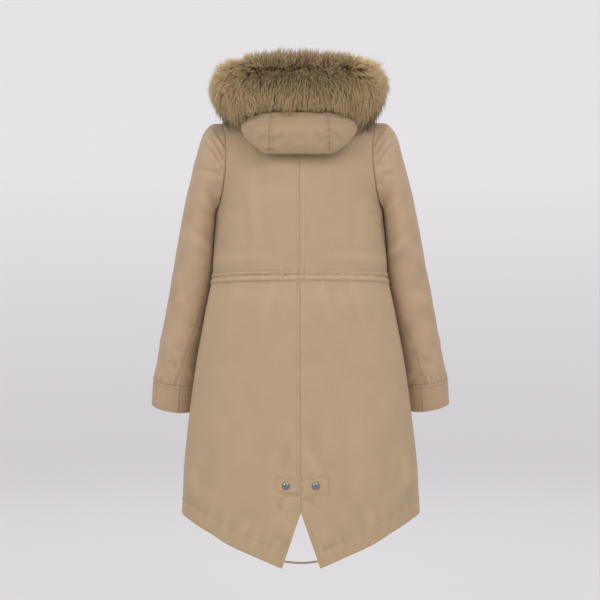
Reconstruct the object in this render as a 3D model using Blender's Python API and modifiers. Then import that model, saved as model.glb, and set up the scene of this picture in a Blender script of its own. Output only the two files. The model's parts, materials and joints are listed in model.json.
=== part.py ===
"""A fishtail parka as it hangs on a wearer: hood down, fur trim round the hood, open at neck, cuffs and hem.

Metres, +Z up. The front faces -Y, and the wearer's left is +X. The origin is midway between the two
points where the shoulder seams meet the neckline, which is where the wearer's shoulders carry the coat.

Every piece of cloth is a wall between two faces that are read from one smooth surface: the torso, a
sleeve or the hood. Short tables give the sections, and everything between two rows is worked out.
"""

import math

import bpy
import numpy as np
from mathutils import Vector

# ---------------------------------------------------------------- driving dimensions
CLOTH = 0.0020  # the shell cloth with its backing
TRIM = 0.0012  # one layer of cloth laid on a panel
GAP = 0.0003  # between neighbouring pieces
SEAM = 0.0008  # share of a panel's width left off at each seam

BACK, FRONT = 1, -1
LEFT, RIGHT = 1, -1

CHEST_Z = -0.240  # the level of the armpits
WAIST_HIGH = -0.3795
WAIST_LOW = -0.4045
WAIST_DROP = 0.008  # how much lower the waist tunnel lies at the side seams
HEM_BAND = 0.036  # height of the hem tunnel
SQUARE = 0.03  # how far the torso's sections stand out past an ellipse

VENT_TOP = -0.928
TAIL_Z = -1.050
TAIL_SPREAD = 0.042  # half the gap between the two tail points

NECK_HALF = 0.082
NECK_DEPTH = {BACK: 0.070, FRONT: 0.088}
NECK_DROP = {BACK: 0.012, FRONT: 0.085}
SHOULDER_POINT = (0.182, -0.034)  # x and z
ARMHOLE_HALF_DEPTH = 0.068

PLACKET = (-0.038, 0.030)  # from the wearer's right front across the centre line
STUD_RADIUS = 0.0086
STUD_HEIGHT = 0.0034
FRONT_STUD_ROWS = (1.25, 1.5, 1.75, 2.5, 3.77, 4 + 4 / 9)
VENT_STUD = (0.0335, -0.8765)  # x and z

CORD_DIAMETER = 0.0045
CORD_Z = -1.036
CORD_SAG = 0.004
CORD_CLEAR = 0.0014  # from its ends to the slanted edges that it comes out of
CORD_POINTS = 13
CUFF_SEAM = 109  # where the cuff's ends meet
FLAP_LIFT = 0.0011  # the flap clears the waist tunnel's ends and the front edges
FLAP_HEM = 0.02  # how far up it starts, in rows
FLAP_TOP = 4.95

COLUMNS = 10  # across half the back or front
ARMHOLE_ROWS = 9


def table(names, *rows):
    """The named columns of a short table, whose first column rises from row to row."""
    return dict(zip(names.split(), map(np.array, zip(*rows))))


# The torso's sections. Depths are measured from the plane of the side seams.
TORSO = table(
    "z       half_width back_depth front_depth",
    (-1.060, 0.2840, 0.158, 0.150),
    (-0.950, 0.2785, 0.154, 0.150),
    (-0.850, 0.2750, 0.149, 0.146),
    (-0.750, 0.2650, 0.145, 0.141),
    (-0.610, 0.2460, 0.139, 0.136),
    (-0.480, 0.2230, 0.129, 0.130),
    (-0.392, 0.2070, 0.121, 0.126),
    (-0.310, 0.2010, 0.127, 0.137),
    (-0.240, 0.1955, 0.130, 0.142),
)

# The hem's height from the centre line (turn 0) to the side seam (turn 1).
HEM = table(
    "turn    back    front",
    (0.000, -1.053, -0.936),
    (0.095, -1.039, -0.937),
    (0.170, -1.028, -0.938),
    (0.340, -1.004, -0.940),
    (0.520, -0.975, -0.941),
    (0.760, -0.952, -0.943),
    (1.000, -0.944, -0.944),
)

# Along the top of a torso panel, from the centre line (0) past the neck to the shoulder point (1): how far
# forward the cloth leans as it arrives there, and how strongly.
NECK_SHARE = 0.3
TOP = table(
    "across lean  pull",
    (0.00, 34, 0.80),
    (0.15, 50, 0.85),
    (0.30, 84, 0.95),
    (0.50, 90, 1.10),
    (1.00, 90, 1.30),
)
ARMHOLE_FADE = 1.4  # the sleeve's ring at which its own ovals have taken over
ARMHOLE_HOLD = 1.4  # how closely the armhole's shape stays to the armhole

# The armhole from the shoulder point (angle 0) to the armpit (angle 180).
ARMHOLE = table(
    "angle  back   front",
    (-30, 0.1790, 0.1790),
    (0, 0.1820, 0.1820),
    (45, 0.1725, 0.1700),
    (70, 0.1690, 0.1640),
    (90, 0.1700, 0.1640),
    (120, 0.1765, 0.1725),
    (150, 0.1870, 0.1860),
    (180, 0.1955, 0.1955),
    (210, 0.1870, 0.1860),
)

# A sleeve's rings from the armhole to the cuff's edge: outermost and innermost point, middle in Y, half
# its depth, how far it leans forward, and where the two seams run (90 is the middle of its back).
CUFF_RING, LAST_RING = 12, 14
SLEEVE = table(
    "ring outer_x outer_z inner_x inner_z middle_y half_depth lean back_seam",
    (0, 0.1820, -0.0340, 0.1955, -0.2400, 0.000, 0.0680, 0, 160.0),
    (1, 0.2040, -0.0365, 0.1967, -0.2430, 0.000, 0.0700, 0, 160.0),
    (2, 0.2240, -0.0560, 0.1977, -0.2480, -0.001, 0.0720, 0, 160.0),
    (3, 0.2385, -0.0970, 0.1986, -0.2550, -0.002, 0.0735, 0, 160.0),
    (4, 0.2510, -0.1430, 0.1991, -0.2650, -0.005, 0.0730, 0, 160.0),
    (5, 0.2640, -0.1950, 0.2003, -0.2850, -0.010, 0.0715, 1, 160.0),
    (6, 0.2770, -0.2550, 0.2024, -0.3160, -0.018, 0.0690, 4, 159.0),
    (7, 0.2910, -0.3250, 0.2034, -0.3620, -0.028, 0.0655, 7, 155.0),
    (8, 0.3040, -0.3900, 0.2085, -0.4150, -0.040, 0.0620, 9, 148.0),
    (9, 0.3180, -0.4650, 0.2205, -0.4820, -0.050, 0.0580, 11, 133.0),
    (10, 0.3330, -0.5400, 0.2360, -0.5520, -0.060, 0.0540, 12, 116.0),
    (11, 0.3450, -0.6000, 0.2460, -0.6120, -0.070, 0.0500, 13, 103.0),
    (12, 0.3515, -0.6320, 0.2505, -0.6460, -0.076, 0.0480, 13, 96.0),
    (13, 0.3550, -0.6650, 0.2535, -0.6790, -0.083, 0.0475, 13, 96.0),
    (14, 0.3575, -0.6970, 0.2565, -0.7120, -0.091, 0.0470, 13, 96.0),
)
FRONT_SEAM = -140.0

# The fur trim from the centre back (station 0) round the neck to its end on the chest (station 1).
FUR = table(
    "station x      y      z     half_depth half_height",
    (0.00, 0.0000, 0.1520, 0.0435, 0.0550, 0.0715),
    (0.25, 0.0680, 0.1460, 0.0440, 0.0565, 0.0715),
    (0.42, 0.1130, 0.1160, 0.0430, 0.0600, 0.0715),
    (0.55, 0.1370, 0.0720, 0.0420, 0.0650, 0.0700),
    (0.68, 0.1430, 0.0150, 0.0530, 0.0630, 0.0630),
    (0.78, 0.1330, -0.0450, 0.0390, 0.0570, 0.0580),
    (0.88, 0.1080, -0.1020, 0.0000, 0.0500, 0.0520),
    (0.95, 0.0800, -0.1390, -0.0480, 0.0440, 0.0450),
    (1.00, 0.0560, -0.1560, -0.0900, 0.0340, 0.0350),
)

# The hood from the centre back (station 0) to its front ends (station 1): the place on the neckline (1 is
# the shoulder seam), the lowest point of the bag, how far the cloth lifts off the neck and bulges
# outwards, and where round the trim's section it meets the fur.
HOOD_SEAM = 0.225
HOOD = table(
    "station neck  bag low_x   low_y   low_z   lift   bulge  meets",
    (0.00, 0.00, 1.0, 0.0000, 0.1390, -0.1175, 0.026, 0.027, -84),
    (0.12, 0.24, 1.0, 0.0360, 0.1380, -0.1175, 0.026, 0.027, -84),
    (0.25, 0.48, 1.0, 0.0720, 0.1320, -0.1165, 0.024, 0.025, -84),
    (0.36, 0.64, 1.0, 0.1000, 0.1230, -0.0985, 0.018, 0.018, -88),
    (0.46, 0.77, 1.0, 0.1255, 0.1050, -0.0670, 0.012, 0.008, -92),
    (0.54, 0.87, 0.85, 0.1350, 0.0860, -0.0450, 0.000, 0.002, -104),
    (0.60, 0.94, 0.5, 0.1250, 0.0600, -0.0380, 0.000, 0.000, -120),
    (0.67, 1.00, 0.0, 0.1000, 0.0300, 0.0060, 0.000, 0.000, -140),
    (0.80, 1.25, 0.0, 0.0880, -0.0480, -0.0170, 0.000, 0.000, -150),
    (0.91, 1.50, 0.0, 0.0690, -0.0900, -0.0600, 0.000, 0.000, -140),
    (1.00, 1.70, 0.0, 0.0500, -0.1120, -0.0840, 0.000, 0.000, -130),
)


# ---------------------------------------------------------------- reading the tables
def hermite(start, leaving, end, arriving, share):
    """The cubic from start to end with those two end tangents, at a share of 0 to 1."""
    s = share
    return (
        (1 + 2 * s) * (1 - s) ** 2 * start
        + s * (1 - s) ** 2 * leaving
        + s * s * (3 - 2 * s) * end
        + s * s * (s - 1) * arriving
    )


def read(columns, name, at):
    """One column of a table, smoothly between its rows."""
    keys = next(iter(columns.values())).astype(float)
    values = columns[name].astype(float)
    rates = np.diff(values) / np.diff(keys)
    both = rates[:-1] * rates[1:]
    mean = 2 * both / np.where(both > 0, rates[:-1] + rates[1:], 1)
    slopes = np.concatenate([rates[:1], np.where(both > 0, mean, 0), rates[-1:]])
    at = np.clip(at, keys[0], keys[-1])
    row = np.clip(np.searchsorted(keys, at), 1, len(keys) - 1)
    step = keys[row] - keys[row - 1]
    share = (at - keys[row - 1]) / step
    return hermite(
        values[row - 1], slopes[row - 1] * step, values[row], slopes[row] * step, share
    )


def points(x, y, z):
    return np.stack(np.broadcast_arrays(x, y, z), axis=-1).astype(float)


def unit(vectors):
    return vectors / np.linalg.norm(vectors, axis=-1, keepdims=True)


def sine(degrees):
    return np.sin(np.radians(degrees))


def cosine(degrees):
    return np.cos(np.radians(degrees))


def mirrored(hand, place):
    return place * np.array([hand, 1, 1])


# ---------------------------------------------------------------- the torso
def section(side, turn, z):
    """The torso's outer face below the armholes: turn is 0 at the centre line and 1 at the side seam."""
    angle = 90 * turn
    stretch = 1 + SQUARE * sine(2 * angle) ** 2
    depth = read(TORSO, "back_depth" if side == BACK else "front_depth", z)
    return points(
        read(TORSO, "half_width", z) * sine(angle) * stretch,
        side * depth * cosine(angle) * stretch,
        z,
    )


def neckline(side, along):
    """The edge of the neck from the centre line (0) to the shoulder seam (1)."""
    angle = 90 * along
    return points(
        NECK_HALF * sine(angle),
        side * NECK_DEPTH[side] * cosine(angle),
        -NECK_DROP[side] * cosine(angle) ** 2,
    )


def shoulder_seam(along):
    x, z = SHOULDER_POINT
    ease = 0.002 * sine(180 * along)
    return points(NECK_HALF + (x - NECK_HALF) * along, 0, z * along + ease)


def armhole(side, angle):
    """The armhole's edge from the shoulder point (0) to the armpit (180)."""
    top = SHOULDER_POINT[1]
    return points(
        read(ARMHOLE, "back" if side == BACK else "front", angle),
        side * ARMHOLE_HALF_DEPTH * sine(angle),
        (top + CHEST_Z) / 2 + (top - CHEST_Z) / 2 * cosine(angle),
    )


def yoke(side, across, share):
    """The outer face above the chest, from there (share 0) to the neckline and shoulder seam (1)."""
    level = np.full_like(across, CHEST_Z)
    chest = section(side, across, level)
    rising = unit(chest - section(side, across, level - 0.02))
    on_neck = neckline(side, np.clip(across / NECK_SHARE, -1, 1))
    on_shoulder = shoulder_seam((across - NECK_SHARE) / (1 - NECK_SHARE))
    end = np.where((across < NECK_SHARE)[..., None], on_neck, on_shoulder)
    lean = read(TOP, "lean", across)
    reach = np.linalg.norm(end - chest, axis=-1)[..., None]
    arriving = points(0, -side * sine(lean), cosine(lean)) * read(TOP, "pull", across)[..., None]
    return hermite(chest, rising * reach, end, arriving * reach, share[..., None])


def hem_height(side, turn):
    return read(HEM, "back" if side == BACK else "front", turn)


def torso(side, hand, across, up):
    """The coat's outer face. `up` is 0 at the hem, 1 on top of the hem tunnel, 2 and 3 at the edges of
    the waist tunnel, 4 at the chest and 5 at the neckline, the shoulder seam and the armhole."""
    across, up = np.broadcast_arrays(np.asarray(across, float), np.asarray(up, float))
    hem = hem_height(side, across)
    drop = WAIST_DROP * across**2
    levels = (hem, hem + HEM_BAND, WAIST_LOW - drop, WAIST_HIGH - drop, CHEST_Z + 0 * hem)
    z = levels[0] + (levels[1] - levels[0]) * np.minimum(up, 1)
    for low in (1, 2, 3):
        z = z + (levels[low + 1] - levels[low]) * np.clip(up - low, 0, 1)
    turn = across
    if side == BACK:
        open_by = TAIL_SPREAD * np.clip((VENT_TOP - z) / (VENT_TOP - TAIL_Z), 0, None)
        edge = np.degrees(np.arcsin(open_by / read(TORSO, "half_width", z))) / 90
        turn = edge + (1 - edge) * across
    below = section(side, turn, z)

    share = np.clip(up - 4, 0, 1)
    shift = armhole(side, 180 * (1 - share)) - yoke(side, np.ones_like(across), share)
    chest = np.full_like(across, CHEST_Z)
    inward = unit(section(side, across - 1e-3, chest) - section(side, across + 1e-3, chest))
    outward = side * points(inward[..., 1], -inward[..., 0], 0)
    turned = side * shift[..., 1:2] * inward + shift[..., :1] * outward
    turned = turned + shift * np.array([0, 0, 1])
    hold = np.clip(across, 0, None) ** ARMHOLE_HOLD
    above = yoke(side, across, share) + hold[..., None] * turned
    return mirrored(hand, np.where(up[..., None] < 4, below, above))


def across_at(side, x, up):
    """The place across a panel at which the torso reaches x, found by halving."""
    low, high = np.zeros_like(np.asarray(up, float)), np.full_like(up, 0.29, dtype=float)
    for _ in range(30):
        middle = (low + high) / 2
        short = torso(side, LEFT, middle, up)[..., 0] < x
        low, high = np.where(short, middle, low), np.where(short, high, middle)
    return (low + high) / 2


def height_at(side, z):
    """How far up a panel the centre line reaches height z, found by halving."""
    low, high = np.zeros(1), np.full(1, 5.0)
    for _ in range(40):
        middle = (low + high) / 2
        under = torso(side, LEFT, np.zeros(1), middle)[..., 2] < z
        low, high = np.where(under, middle, low), np.where(under, high, middle)
    return (low + high) / 2


# ---------------------------------------------------------------- sleeves
def ring_of(ring, angle):
    """An oval ring of the sleeve: angle 0 is its outermost point, 90 the middle of its back."""
    column = {name: read(SLEEVE, name, ring) for name in SLEEVE}
    middle = points(
        (column["outer_x"] + column["inner_x"]) / 2,
        column["middle_y"],
        (column["outer_z"] + column["inner_z"]) / 2,
    )
    outward = points(
        (column["outer_x"] - column["inner_x"]) / 2,
        0,
        (column["outer_z"] - column["inner_z"]) / 2,
    )
    backward = points(0, cosine(column["lean"]), -sine(column["lean"]))
    backward = backward * column["half_depth"][..., None]
    return middle + outward * cosine(angle)[..., None] + backward * sine(angle)[..., None]


def sleeve(hand, angle, ring):
    """The sleeve's outer face. Its first ring is the armhole, and its own ovals soon take over."""
    angle, ring = np.broadcast_arrays(np.asarray(angle, float), np.asarray(ring, float))
    turned = (angle + 180) % 360 - 180
    seam = np.where(
        (turned > 0)[..., None],
        armhole(BACK, np.abs(turned)),
        armhole(FRONT, np.abs(turned)),
    )
    fitted = seam - ring_of(np.zeros_like(ring), angle)
    share = np.clip(1 - ring / ARMHOLE_FADE, 0, 1)[..., None] ** 2
    return mirrored(hand, ring_of(ring, angle) + fitted * share)


# ---------------------------------------------------------------- fur trim and hood
def fur_frame(station):
    """The middle of the fur trim, and its outward and upward directions across its run."""
    side = np.where(station < 0, RIGHT, LEFT)
    along = np.abs(station)

    def middle(at):
        return points(*(read(FUR, axis, at) for axis in "xyz"))

    run = unit(middle(along + 0.01) - middle(along - 0.01))
    out = unit(np.cross(run, np.array([0.0, 0.0, 1.0])) * -1)
    up = np.cross(run, out)
    flip = points(side, 1, 1)
    return middle(along) * flip, out * flip, unit(up) * flip


def fur(station, angle):
    """The reach of the fur: angle 0 faces away from the neck, 90 is up."""
    station, angle = np.broadcast_arrays(np.asarray(station, float), np.asarray(angle, float))
    middle, out, up = fur_frame(station)
    depth = read(FUR, "half_depth", np.abs(station))[..., None]
    height = read(FUR, "half_height", np.abs(station))[..., None]
    return middle + out * depth * cosine(angle)[..., None] + up * height * sine(angle)[..., None]


def hood(station, along):
    """The hood's outer face from the neck seam (along 0) down into the bag and up to the fur (1)."""
    station, along = np.broadcast_arrays(np.asarray(station, float), np.asarray(along, float))
    half = np.abs(station)
    place = read(HOOD, "neck", half)
    seam = np.where(
        (place <= 1)[..., None], neckline(BACK, place), neckline(FRONT, 2 - place)
    )
    seam = seam * np.array([0.975, 0.975, 1]) + np.array([0, 0, 1.5 * CLOTH])
    low = points(*(read(HOOD, name, half) for name in ("low_x", "low_y", "low_z")))
    middle, out, up = fur_frame(half)
    depth = read(FUR, "half_depth", half) + CLOTH
    height = read(FUR, "half_height", half) + CLOTH
    inward = seam - middle
    facing = np.degrees(
        np.arctan2(np.sum(inward * up, -1) / height, np.sum(inward * out, -1) / depth)
    )
    bag = read(HOOD, "bag", half)
    meets = bag * read(HOOD, "meets", half) + (1 - bag) * facing
    end = middle + out * (depth * cosine(meets))[..., None] + up * (height * sine(meets))[..., None]
    low = bag[..., None] * low + (1 - bag)[..., None] * (seam + end) / 2
    lift = read(HOOD, "lift", half)[..., None] * np.array([0, 0, 1.0])
    bulge = read(HOOD, "bulge", half)[..., None] * out
    stops = [seam, seam + 0.35 * (low - seam) + lift, low, (low + end) / 2 + bulge, end]
    last = len(stops) - 1
    tangents = [stops[1] - stops[0]]
    tangents += [(stops[i + 1] - stops[i - 1]) / 2 for i in range(1, last)]
    tangents += [stops[last] - stops[last - 1]]
    place = np.clip(along * last, 0, last)
    span = np.clip(place.astype(int), 0, last - 1)
    found = np.zeros_like(seam)
    for i in range(last):
        here = hermite(
            stops[i], tangents[i], stops[i + 1], tangents[i + 1], (place - i)[..., None]
        )
        found = np.where((span == i)[..., None], here, found)
    return found * points(np.where(station < 0, RIGHT, LEFT), 1, 1)


# ---------------------------------------------------------------- building walls
def normals(surface, first, second, inside):
    """Unit normals of surface(first, second), on the whole pointing away from the place inside."""
    step = 1e-3
    a = surface(first + step, second) - surface(first - step, second)
    b = surface(first, second + step) - surface(first, second - step)
    found = unit(np.cross(a, b))
    return found * np.sign(np.sum(found * (surface(first, second) - inside)))


def material(name, colour, roughness, metallic=0.0):
    made = bpy.data.materials.new(name)
    made.use_nodes = True
    shader = made.node_tree.nodes["Principled BSDF"]
    shader.inputs["Base Color"].default_value = (*colour, 1)
    shader.inputs["Roughness"].default_value = roughness
    shader.inputs["Metallic"].default_value = metallic
    return made


def add(name, mesh, finish):
    mesh.materials.append(finish)
    made = bpy.data.objects.new(name, mesh)
    parka.objects.link(made)
    return made


def strip(rows, columns, offset, closed=False):
    """The faces of a grid of points, column by column, each looking along rows x columns."""
    last = columns if closed else columns - 1
    return [
        (
            offset + r * columns + c,
            offset + r * columns + (c + 1) % columns,
            offset + (r + 1) * columns + (c + 1) % columns,
            offset + (r + 1) * columns + c,
        )
        for r in range(rows - 1)
        for c in range(last)
    ]


def wall(name, surface, first, second, low, high, inside, finish):
    """A closed wall over a grid of the surface, between two distances along its normals.

    first and second are the grid's two parameters, with second down the rows. low and high are
    distances outwards from the surface, numbers or one for each row."""
    across, down = np.meshgrid(np.asarray(first, float), np.asarray(second, float))
    place = surface(across, down)
    out = normals(surface, across, down, inside)
    rows, columns = across.shape
    low = np.broadcast_to(np.reshape(low, (-1, 1, 1)), (rows, 1, 1))
    high = np.broadcast_to(np.reshape(high, (-1, 1, 1)), (rows, 1, 1))
    vertices = np.concatenate([(place + out * d).reshape(-1, 3) for d in (high, low)])
    count = rows * columns
    faces = strip(rows, columns, 0)
    faces += [face[::-1] for face in strip(rows, columns, count)]
    rim = [(0, c) for c in range(columns)]
    rim += [(r, columns - 1) for r in range(1, rows)]
    rim += [(rows - 1, c) for c in range(columns - 2, -1, -1)]
    rim += [(r, 0) for r in range(rows - 2, 0, -1)]
    ring = [r * columns + c for r, c in rim]
    for here, there in zip(ring, ring[1:] + ring[:1]):
        faces.append((there, here, here + count, there + count))
    mesh = bpy.data.meshes.new(name)
    mesh.from_pydata(vertices.tolist(), [], faces)
    first_face = [Vector(vertices[i]) for i in faces[0][:3]]
    facing = (first_face[1] - first_face[0]).cross(first_face[2] - first_face[0])
    if facing.dot(Vector(out[0, 0])) < 0:
        mesh.flip_normals()
    mesh.shade_smooth()
    mesh.set_sharp_from_angle(angle=math.radians(50))
    return add(name, mesh, finish)


def tube_solid(name, surface, stations, sides, finish):
    """A solid lofted through closed rings, with flat ends."""
    angles = np.arange(sides) * 360 / sides
    across, down = np.meshgrid(angles, stations)
    vertices = surface(down, across).reshape(-1, 3)
    rows = len(stations)
    faces = strip(rows, sides, 0, closed=True)
    faces.append(tuple(range(sides))[::-1])
    faces.append(tuple((rows - 1) * sides + i for i in range(sides)))
    mesh = bpy.data.meshes.new(name)
    mesh.from_pydata(vertices.tolist(), [], faces)
    mesh.shade_smooth()
    mesh.set_sharp_from_angle(angle=math.radians(60))
    return add(name, mesh, finish)


def stud(name, place, out):
    """A domed press stud cap, turned about its own axis and set on the cloth."""
    dome = [
        (STUD_RADIUS * 0.55, STUD_HEIGHT * 0.93),
        (STUD_RADIUS * 0.85, STUD_HEIGHT * 0.62),
        (STUD_RADIUS, STUD_HEIGHT * 0.28),
        (STUD_RADIUS, 0.0),
    ]
    outline = [(0, STUD_HEIGHT)] + dome + [(0, 0)]
    mesh = bpy.data.meshes.new(name)
    mesh.from_pydata(
        [(x, 0, z) for x, z in outline], [(i, i + 1) for i in range(len(outline) - 1)], []
    )
    made = add(name, mesh, nickel)
    turn = made.modifiers.new("turn", "SCREW")
    turn.steps = turn.render_steps = 12
    turn.use_merge_vertices = True
    turn.merge_threshold = 0.0001
    made.location = Vector(place) + Vector(out) * 3 * GAP
    made.rotation_euler = Vector(out).to_track_quat("Z", "Y").to_euler()
    return made


# ---------------------------------------------------------------- start
for old in list(bpy.data.objects):
    bpy.data.objects.remove(old)
parka = bpy.data.collections.new("fur_trimmed_parka")
bpy.context.scene.collection.children.link(parka)

canvas = material("canvas", (0.45, 0.33, 0.205), 0.85)
pile = material("fur", (0.33, 0.245, 0.135), 0.9)
braid = material("cord", (0.34, 0.25, 0.16), 0.8)
nickel = material("nickel", (0.72, 0.72, 0.74), 0.22, 1.0)

ACROSS = np.arange(COLUMNS + 1) / COLUMNS
ACROSS[0], ACROSS[-1] = SEAM, 1 - SEAM
APEX = 1 + (VENT_TOP - TAIL_Z - HEM_BAND) / (WAIST_LOW - TAIL_Z - HEM_BAND)
UPPER_ROWS = [2, 2.5, 3, 3.4, 3.77] + [4 + row / ARMHOLE_ROWS for row in range(ARMHOLE_ROWS)]
ROWS = {BACK: [0, 1, APEX, 1.36, 1.68] + UPPER_ROWS, FRONT: [0, 1, 1.25, 1.5, 1.75] + UPPER_ROWS}
TRUNK = np.array([0.0, 0.0, -0.4])
NAPE_BAG = np.array([0.0, 0.135, -0.060])


def half_ring(columns):
    """Places across one piece of a sleeve, just short of its two seams."""
    places = np.linspace(0, 1, columns + 1)
    places[0], places[-1] = 0.002, 0.998
    return places


def on_torso(side, hand):
    return lambda across, up: torso(side, hand, across, up)


def over_centre(side):
    """Both halves of the back or the front as one surface, measured by x (wearer's left positive)."""

    def surface(x, up):
        across = across_at(side, np.abs(x), up)
        return torso(side, LEFT, across, up) * points(np.where(x < 0, -1, 1), 1, 1)

    return surface


# ---------------------------------------------------------------- fronts and backs
for side, face in ((BACK, "back"), (FRONT, "front")):
    rows = np.array(ROWS[side] + [4.9985])
    layers = np.where(rows <= 1, -CLOTH - TRIM, -CLOTH)
    for hand, name in ((LEFT, "left"), (RIGHT, "right")):
        panel = on_torso(side, hand)
        wall(f"{face}_{name}", panel, ACROSS, rows, layers, 0, TRUNK, canvas)

# ---------------------------------------------------------------- waist tunnel
WAIST_ROWS = np.linspace(2.0, 3.0, 3)
across_back = np.arange(-COLUMNS, COLUMNS + 1) / COLUMNS
across_back[0], across_back[-1] = SEAM - 1, 1 - SEAM


def whole_back(across, up):
    return torso(BACK, LEFT, np.abs(across), up) * points(np.where(across < 0, -1, 1), 1, 1)


wall("waist_tunnel_back", whole_back, across_back, WAIST_ROWS, GAP, GAP + TRIM, TRUNK, canvas)
for hand, name in ((LEFT, "left"), (RIGHT, "right")):
    reach = ACROSS.copy()
    edge = PLACKET[1] if hand == LEFT else -PLACKET[0]
    reach[0] = across_at(FRONT, edge + 0.0006, 2.5)
    reach[1] = (reach[0] + reach[2]) / 2
    panel = on_torso(FRONT, hand)
    wall(f"waist_tunnel_front_{name}", panel, reach, WAIST_ROWS, GAP, GAP + TRIM, TRUNK, canvas)

# ---------------------------------------------------------------- front flap and its studs
FLAP_ROWS = [FLAP_HEM] + ROWS[FRONT][1:] + [FLAP_TOP]
flap = over_centre(FRONT)
flap_columns = [PLACKET[0], PLACKET[0] / 2, 0, PLACKET[1] / 2, PLACKET[1]]
wall("front_flap", flap, flap_columns, FLAP_ROWS, FLAP_LIFT, FLAP_LIFT + CLOTH, TRUNK, canvas)
for number, row in enumerate(FRONT_STUD_ROWS, 1):
    centre = (np.zeros(1), np.array([row]))
    out = normals(flap, *centre, TRUNK)
    stud(f"front_stud_{number}", (flap(*centre) + out * (FLAP_LIFT + CLOTH))[0], out[0])

# ---------------------------------------------------------------- vent studs and hem cord
for hand, name in ((LEFT, "left"), (RIGHT, "right")):
    up = height_at(BACK, VENT_STUD[1])
    across = across_at(BACK, VENT_STUD[0], up)
    panel = on_torso(BACK, hand)
    out = normals(panel, across, up, TRUNK)
    stud(f"vent_stud_{name}", panel(across, up)[0], out[0])

ends = [torso(BACK, hand, np.zeros(1), height_at(BACK, CORD_Z))[0] for hand in (LEFT, RIGHT)]
spline_points = []
for step in range(CORD_POINTS):
    share = step / (CORD_POINTS - 1)
    place = ends[0] * (1 - share) + ends[1] * share
    place[0] *= 1 - CORD_CLEAR / abs(ends[0][0])
    place[1] -= (CLOTH + TRIM) / 2
    place[2] -= CORD_SAG * 4 * share * (1 - share)
    spline_points.append(place)
route = bpy.data.curves.new("hem_cord", "CURVE")
route.dimensions = "3D"
route.bevel_depth = CORD_DIAMETER / 2
route.bevel_resolution = 2
route.use_fill_caps = True
spline = route.splines.new("POLY")
spline.points.add(len(spline_points) - 1)
for point, place in zip(spline.points, spline_points):
    point.co = (*place, 1)
route.materials.append(braid)
parka.objects.link(bpy.data.objects.new("hem_cord", route))

# ---------------------------------------------------------------- sleeves and cuffs
RINGS = [0.06, 0.5, 1.2, 2, 3, 4.2, 5.6, 7, 8.4, 9.8, 11]
CUFF_ROWS = [CUFF_RING, CUFF_RING + 1, LAST_RING]
for hand, name in ((LEFT, "left"), (RIGHT, "right")):

    def upper(across, ring):
        back = read(SLEEVE, "back_seam", ring)
        return sleeve(hand, FRONT_SEAM + (back - FRONT_SEAM) * across, ring)

    def under(across, ring):
        back = read(SLEEVE, "back_seam", ring)
        return sleeve(hand, back + (360 + FRONT_SEAM - back) * across, ring)

    def band(across, ring):
        return sleeve(hand, CUFF_SEAM + 360 * across, ring)

    arm = np.array([0.265 * hand, -0.02, -0.38])
    rings = RINGS + [CUFF_RING - 0.012]
    wall(f"upper_sleeve_{name}", upper, half_ring(15), rings, -CLOTH, 0, arm, canvas)
    wall(f"under_sleeve_{name}", under, half_ring(3), rings, -CLOTH, 0, arm, canvas)
    hand_end = np.array([0.305 * hand, -0.083, -0.67])
    wall(f"cuff_{name}", band, half_ring(18), CUFF_ROWS, -CLOTH, TRIM, hand_end, canvas)

# ---------------------------------------------------------------- hood and fur trim
ALONG = np.linspace(0.0, 1.0, 13)
centre = np.linspace(-1, 1, 7) * (HOOD_SEAM - 0.002)
sides = np.array([0.227, 0.3, 0.37, 0.44, 0.5, 0.56, 0.62, 0.7, 0.8, 0.9, 1])
wall("hood_centre", hood, centre, ALONG, -CLOTH / 2, CLOTH / 2, NAPE_BAG, canvas)
wall("hood_left", hood, sides, ALONG, -CLOTH / 2, CLOTH / 2, NAPE_BAG, canvas)
wall("hood_right", hood, -sides, ALONG, -CLOTH / 2, CLOTH / 2, NAPE_BAG, canvas)
stations = [0, 0.125, 0.25, 0.34, 0.42, 0.5, 0.58, 0.66, 0.73, 0.8, 0.87, 0.93]
stations = np.array([-1, -0.985] + [-at for at in stations[:0:-1]] + stations + [0.985, 1])
tube_solid("fur_trim", fur, stations, 16, pile)
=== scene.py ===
# %% [markdown]
# # A fur trimmed parka
# A parka is a coat cut from flat panels of cotton canvas, drawn in at the waist by a cord in a tunnel and
# split at the back into two tails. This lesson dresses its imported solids: every panel becomes a thin sheet
# with its own creases, seams and stitches, and the trim round the hood becomes fur, tuft by tuft.
# The coat hangs as on a wearer. Its front faces -Y and the wearer's left is +X.

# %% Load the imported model
import math

import bmesh
import bpy
import numpy as np
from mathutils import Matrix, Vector
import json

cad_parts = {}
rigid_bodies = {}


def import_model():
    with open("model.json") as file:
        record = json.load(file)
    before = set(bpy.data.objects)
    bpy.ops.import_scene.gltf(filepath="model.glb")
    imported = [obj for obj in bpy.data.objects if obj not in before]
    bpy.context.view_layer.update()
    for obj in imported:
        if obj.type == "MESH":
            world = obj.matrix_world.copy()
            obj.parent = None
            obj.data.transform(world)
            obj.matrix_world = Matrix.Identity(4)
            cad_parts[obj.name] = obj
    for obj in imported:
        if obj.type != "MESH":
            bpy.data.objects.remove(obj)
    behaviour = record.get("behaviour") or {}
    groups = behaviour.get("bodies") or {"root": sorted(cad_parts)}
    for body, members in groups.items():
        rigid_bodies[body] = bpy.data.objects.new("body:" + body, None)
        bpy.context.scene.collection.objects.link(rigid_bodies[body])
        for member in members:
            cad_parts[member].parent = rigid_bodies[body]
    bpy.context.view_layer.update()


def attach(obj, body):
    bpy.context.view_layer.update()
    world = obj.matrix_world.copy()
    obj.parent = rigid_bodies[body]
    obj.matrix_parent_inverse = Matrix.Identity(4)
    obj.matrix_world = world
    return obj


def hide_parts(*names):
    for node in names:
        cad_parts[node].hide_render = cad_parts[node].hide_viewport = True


for old in list(bpy.data.objects):
    bpy.data.objects.remove(old)
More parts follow.
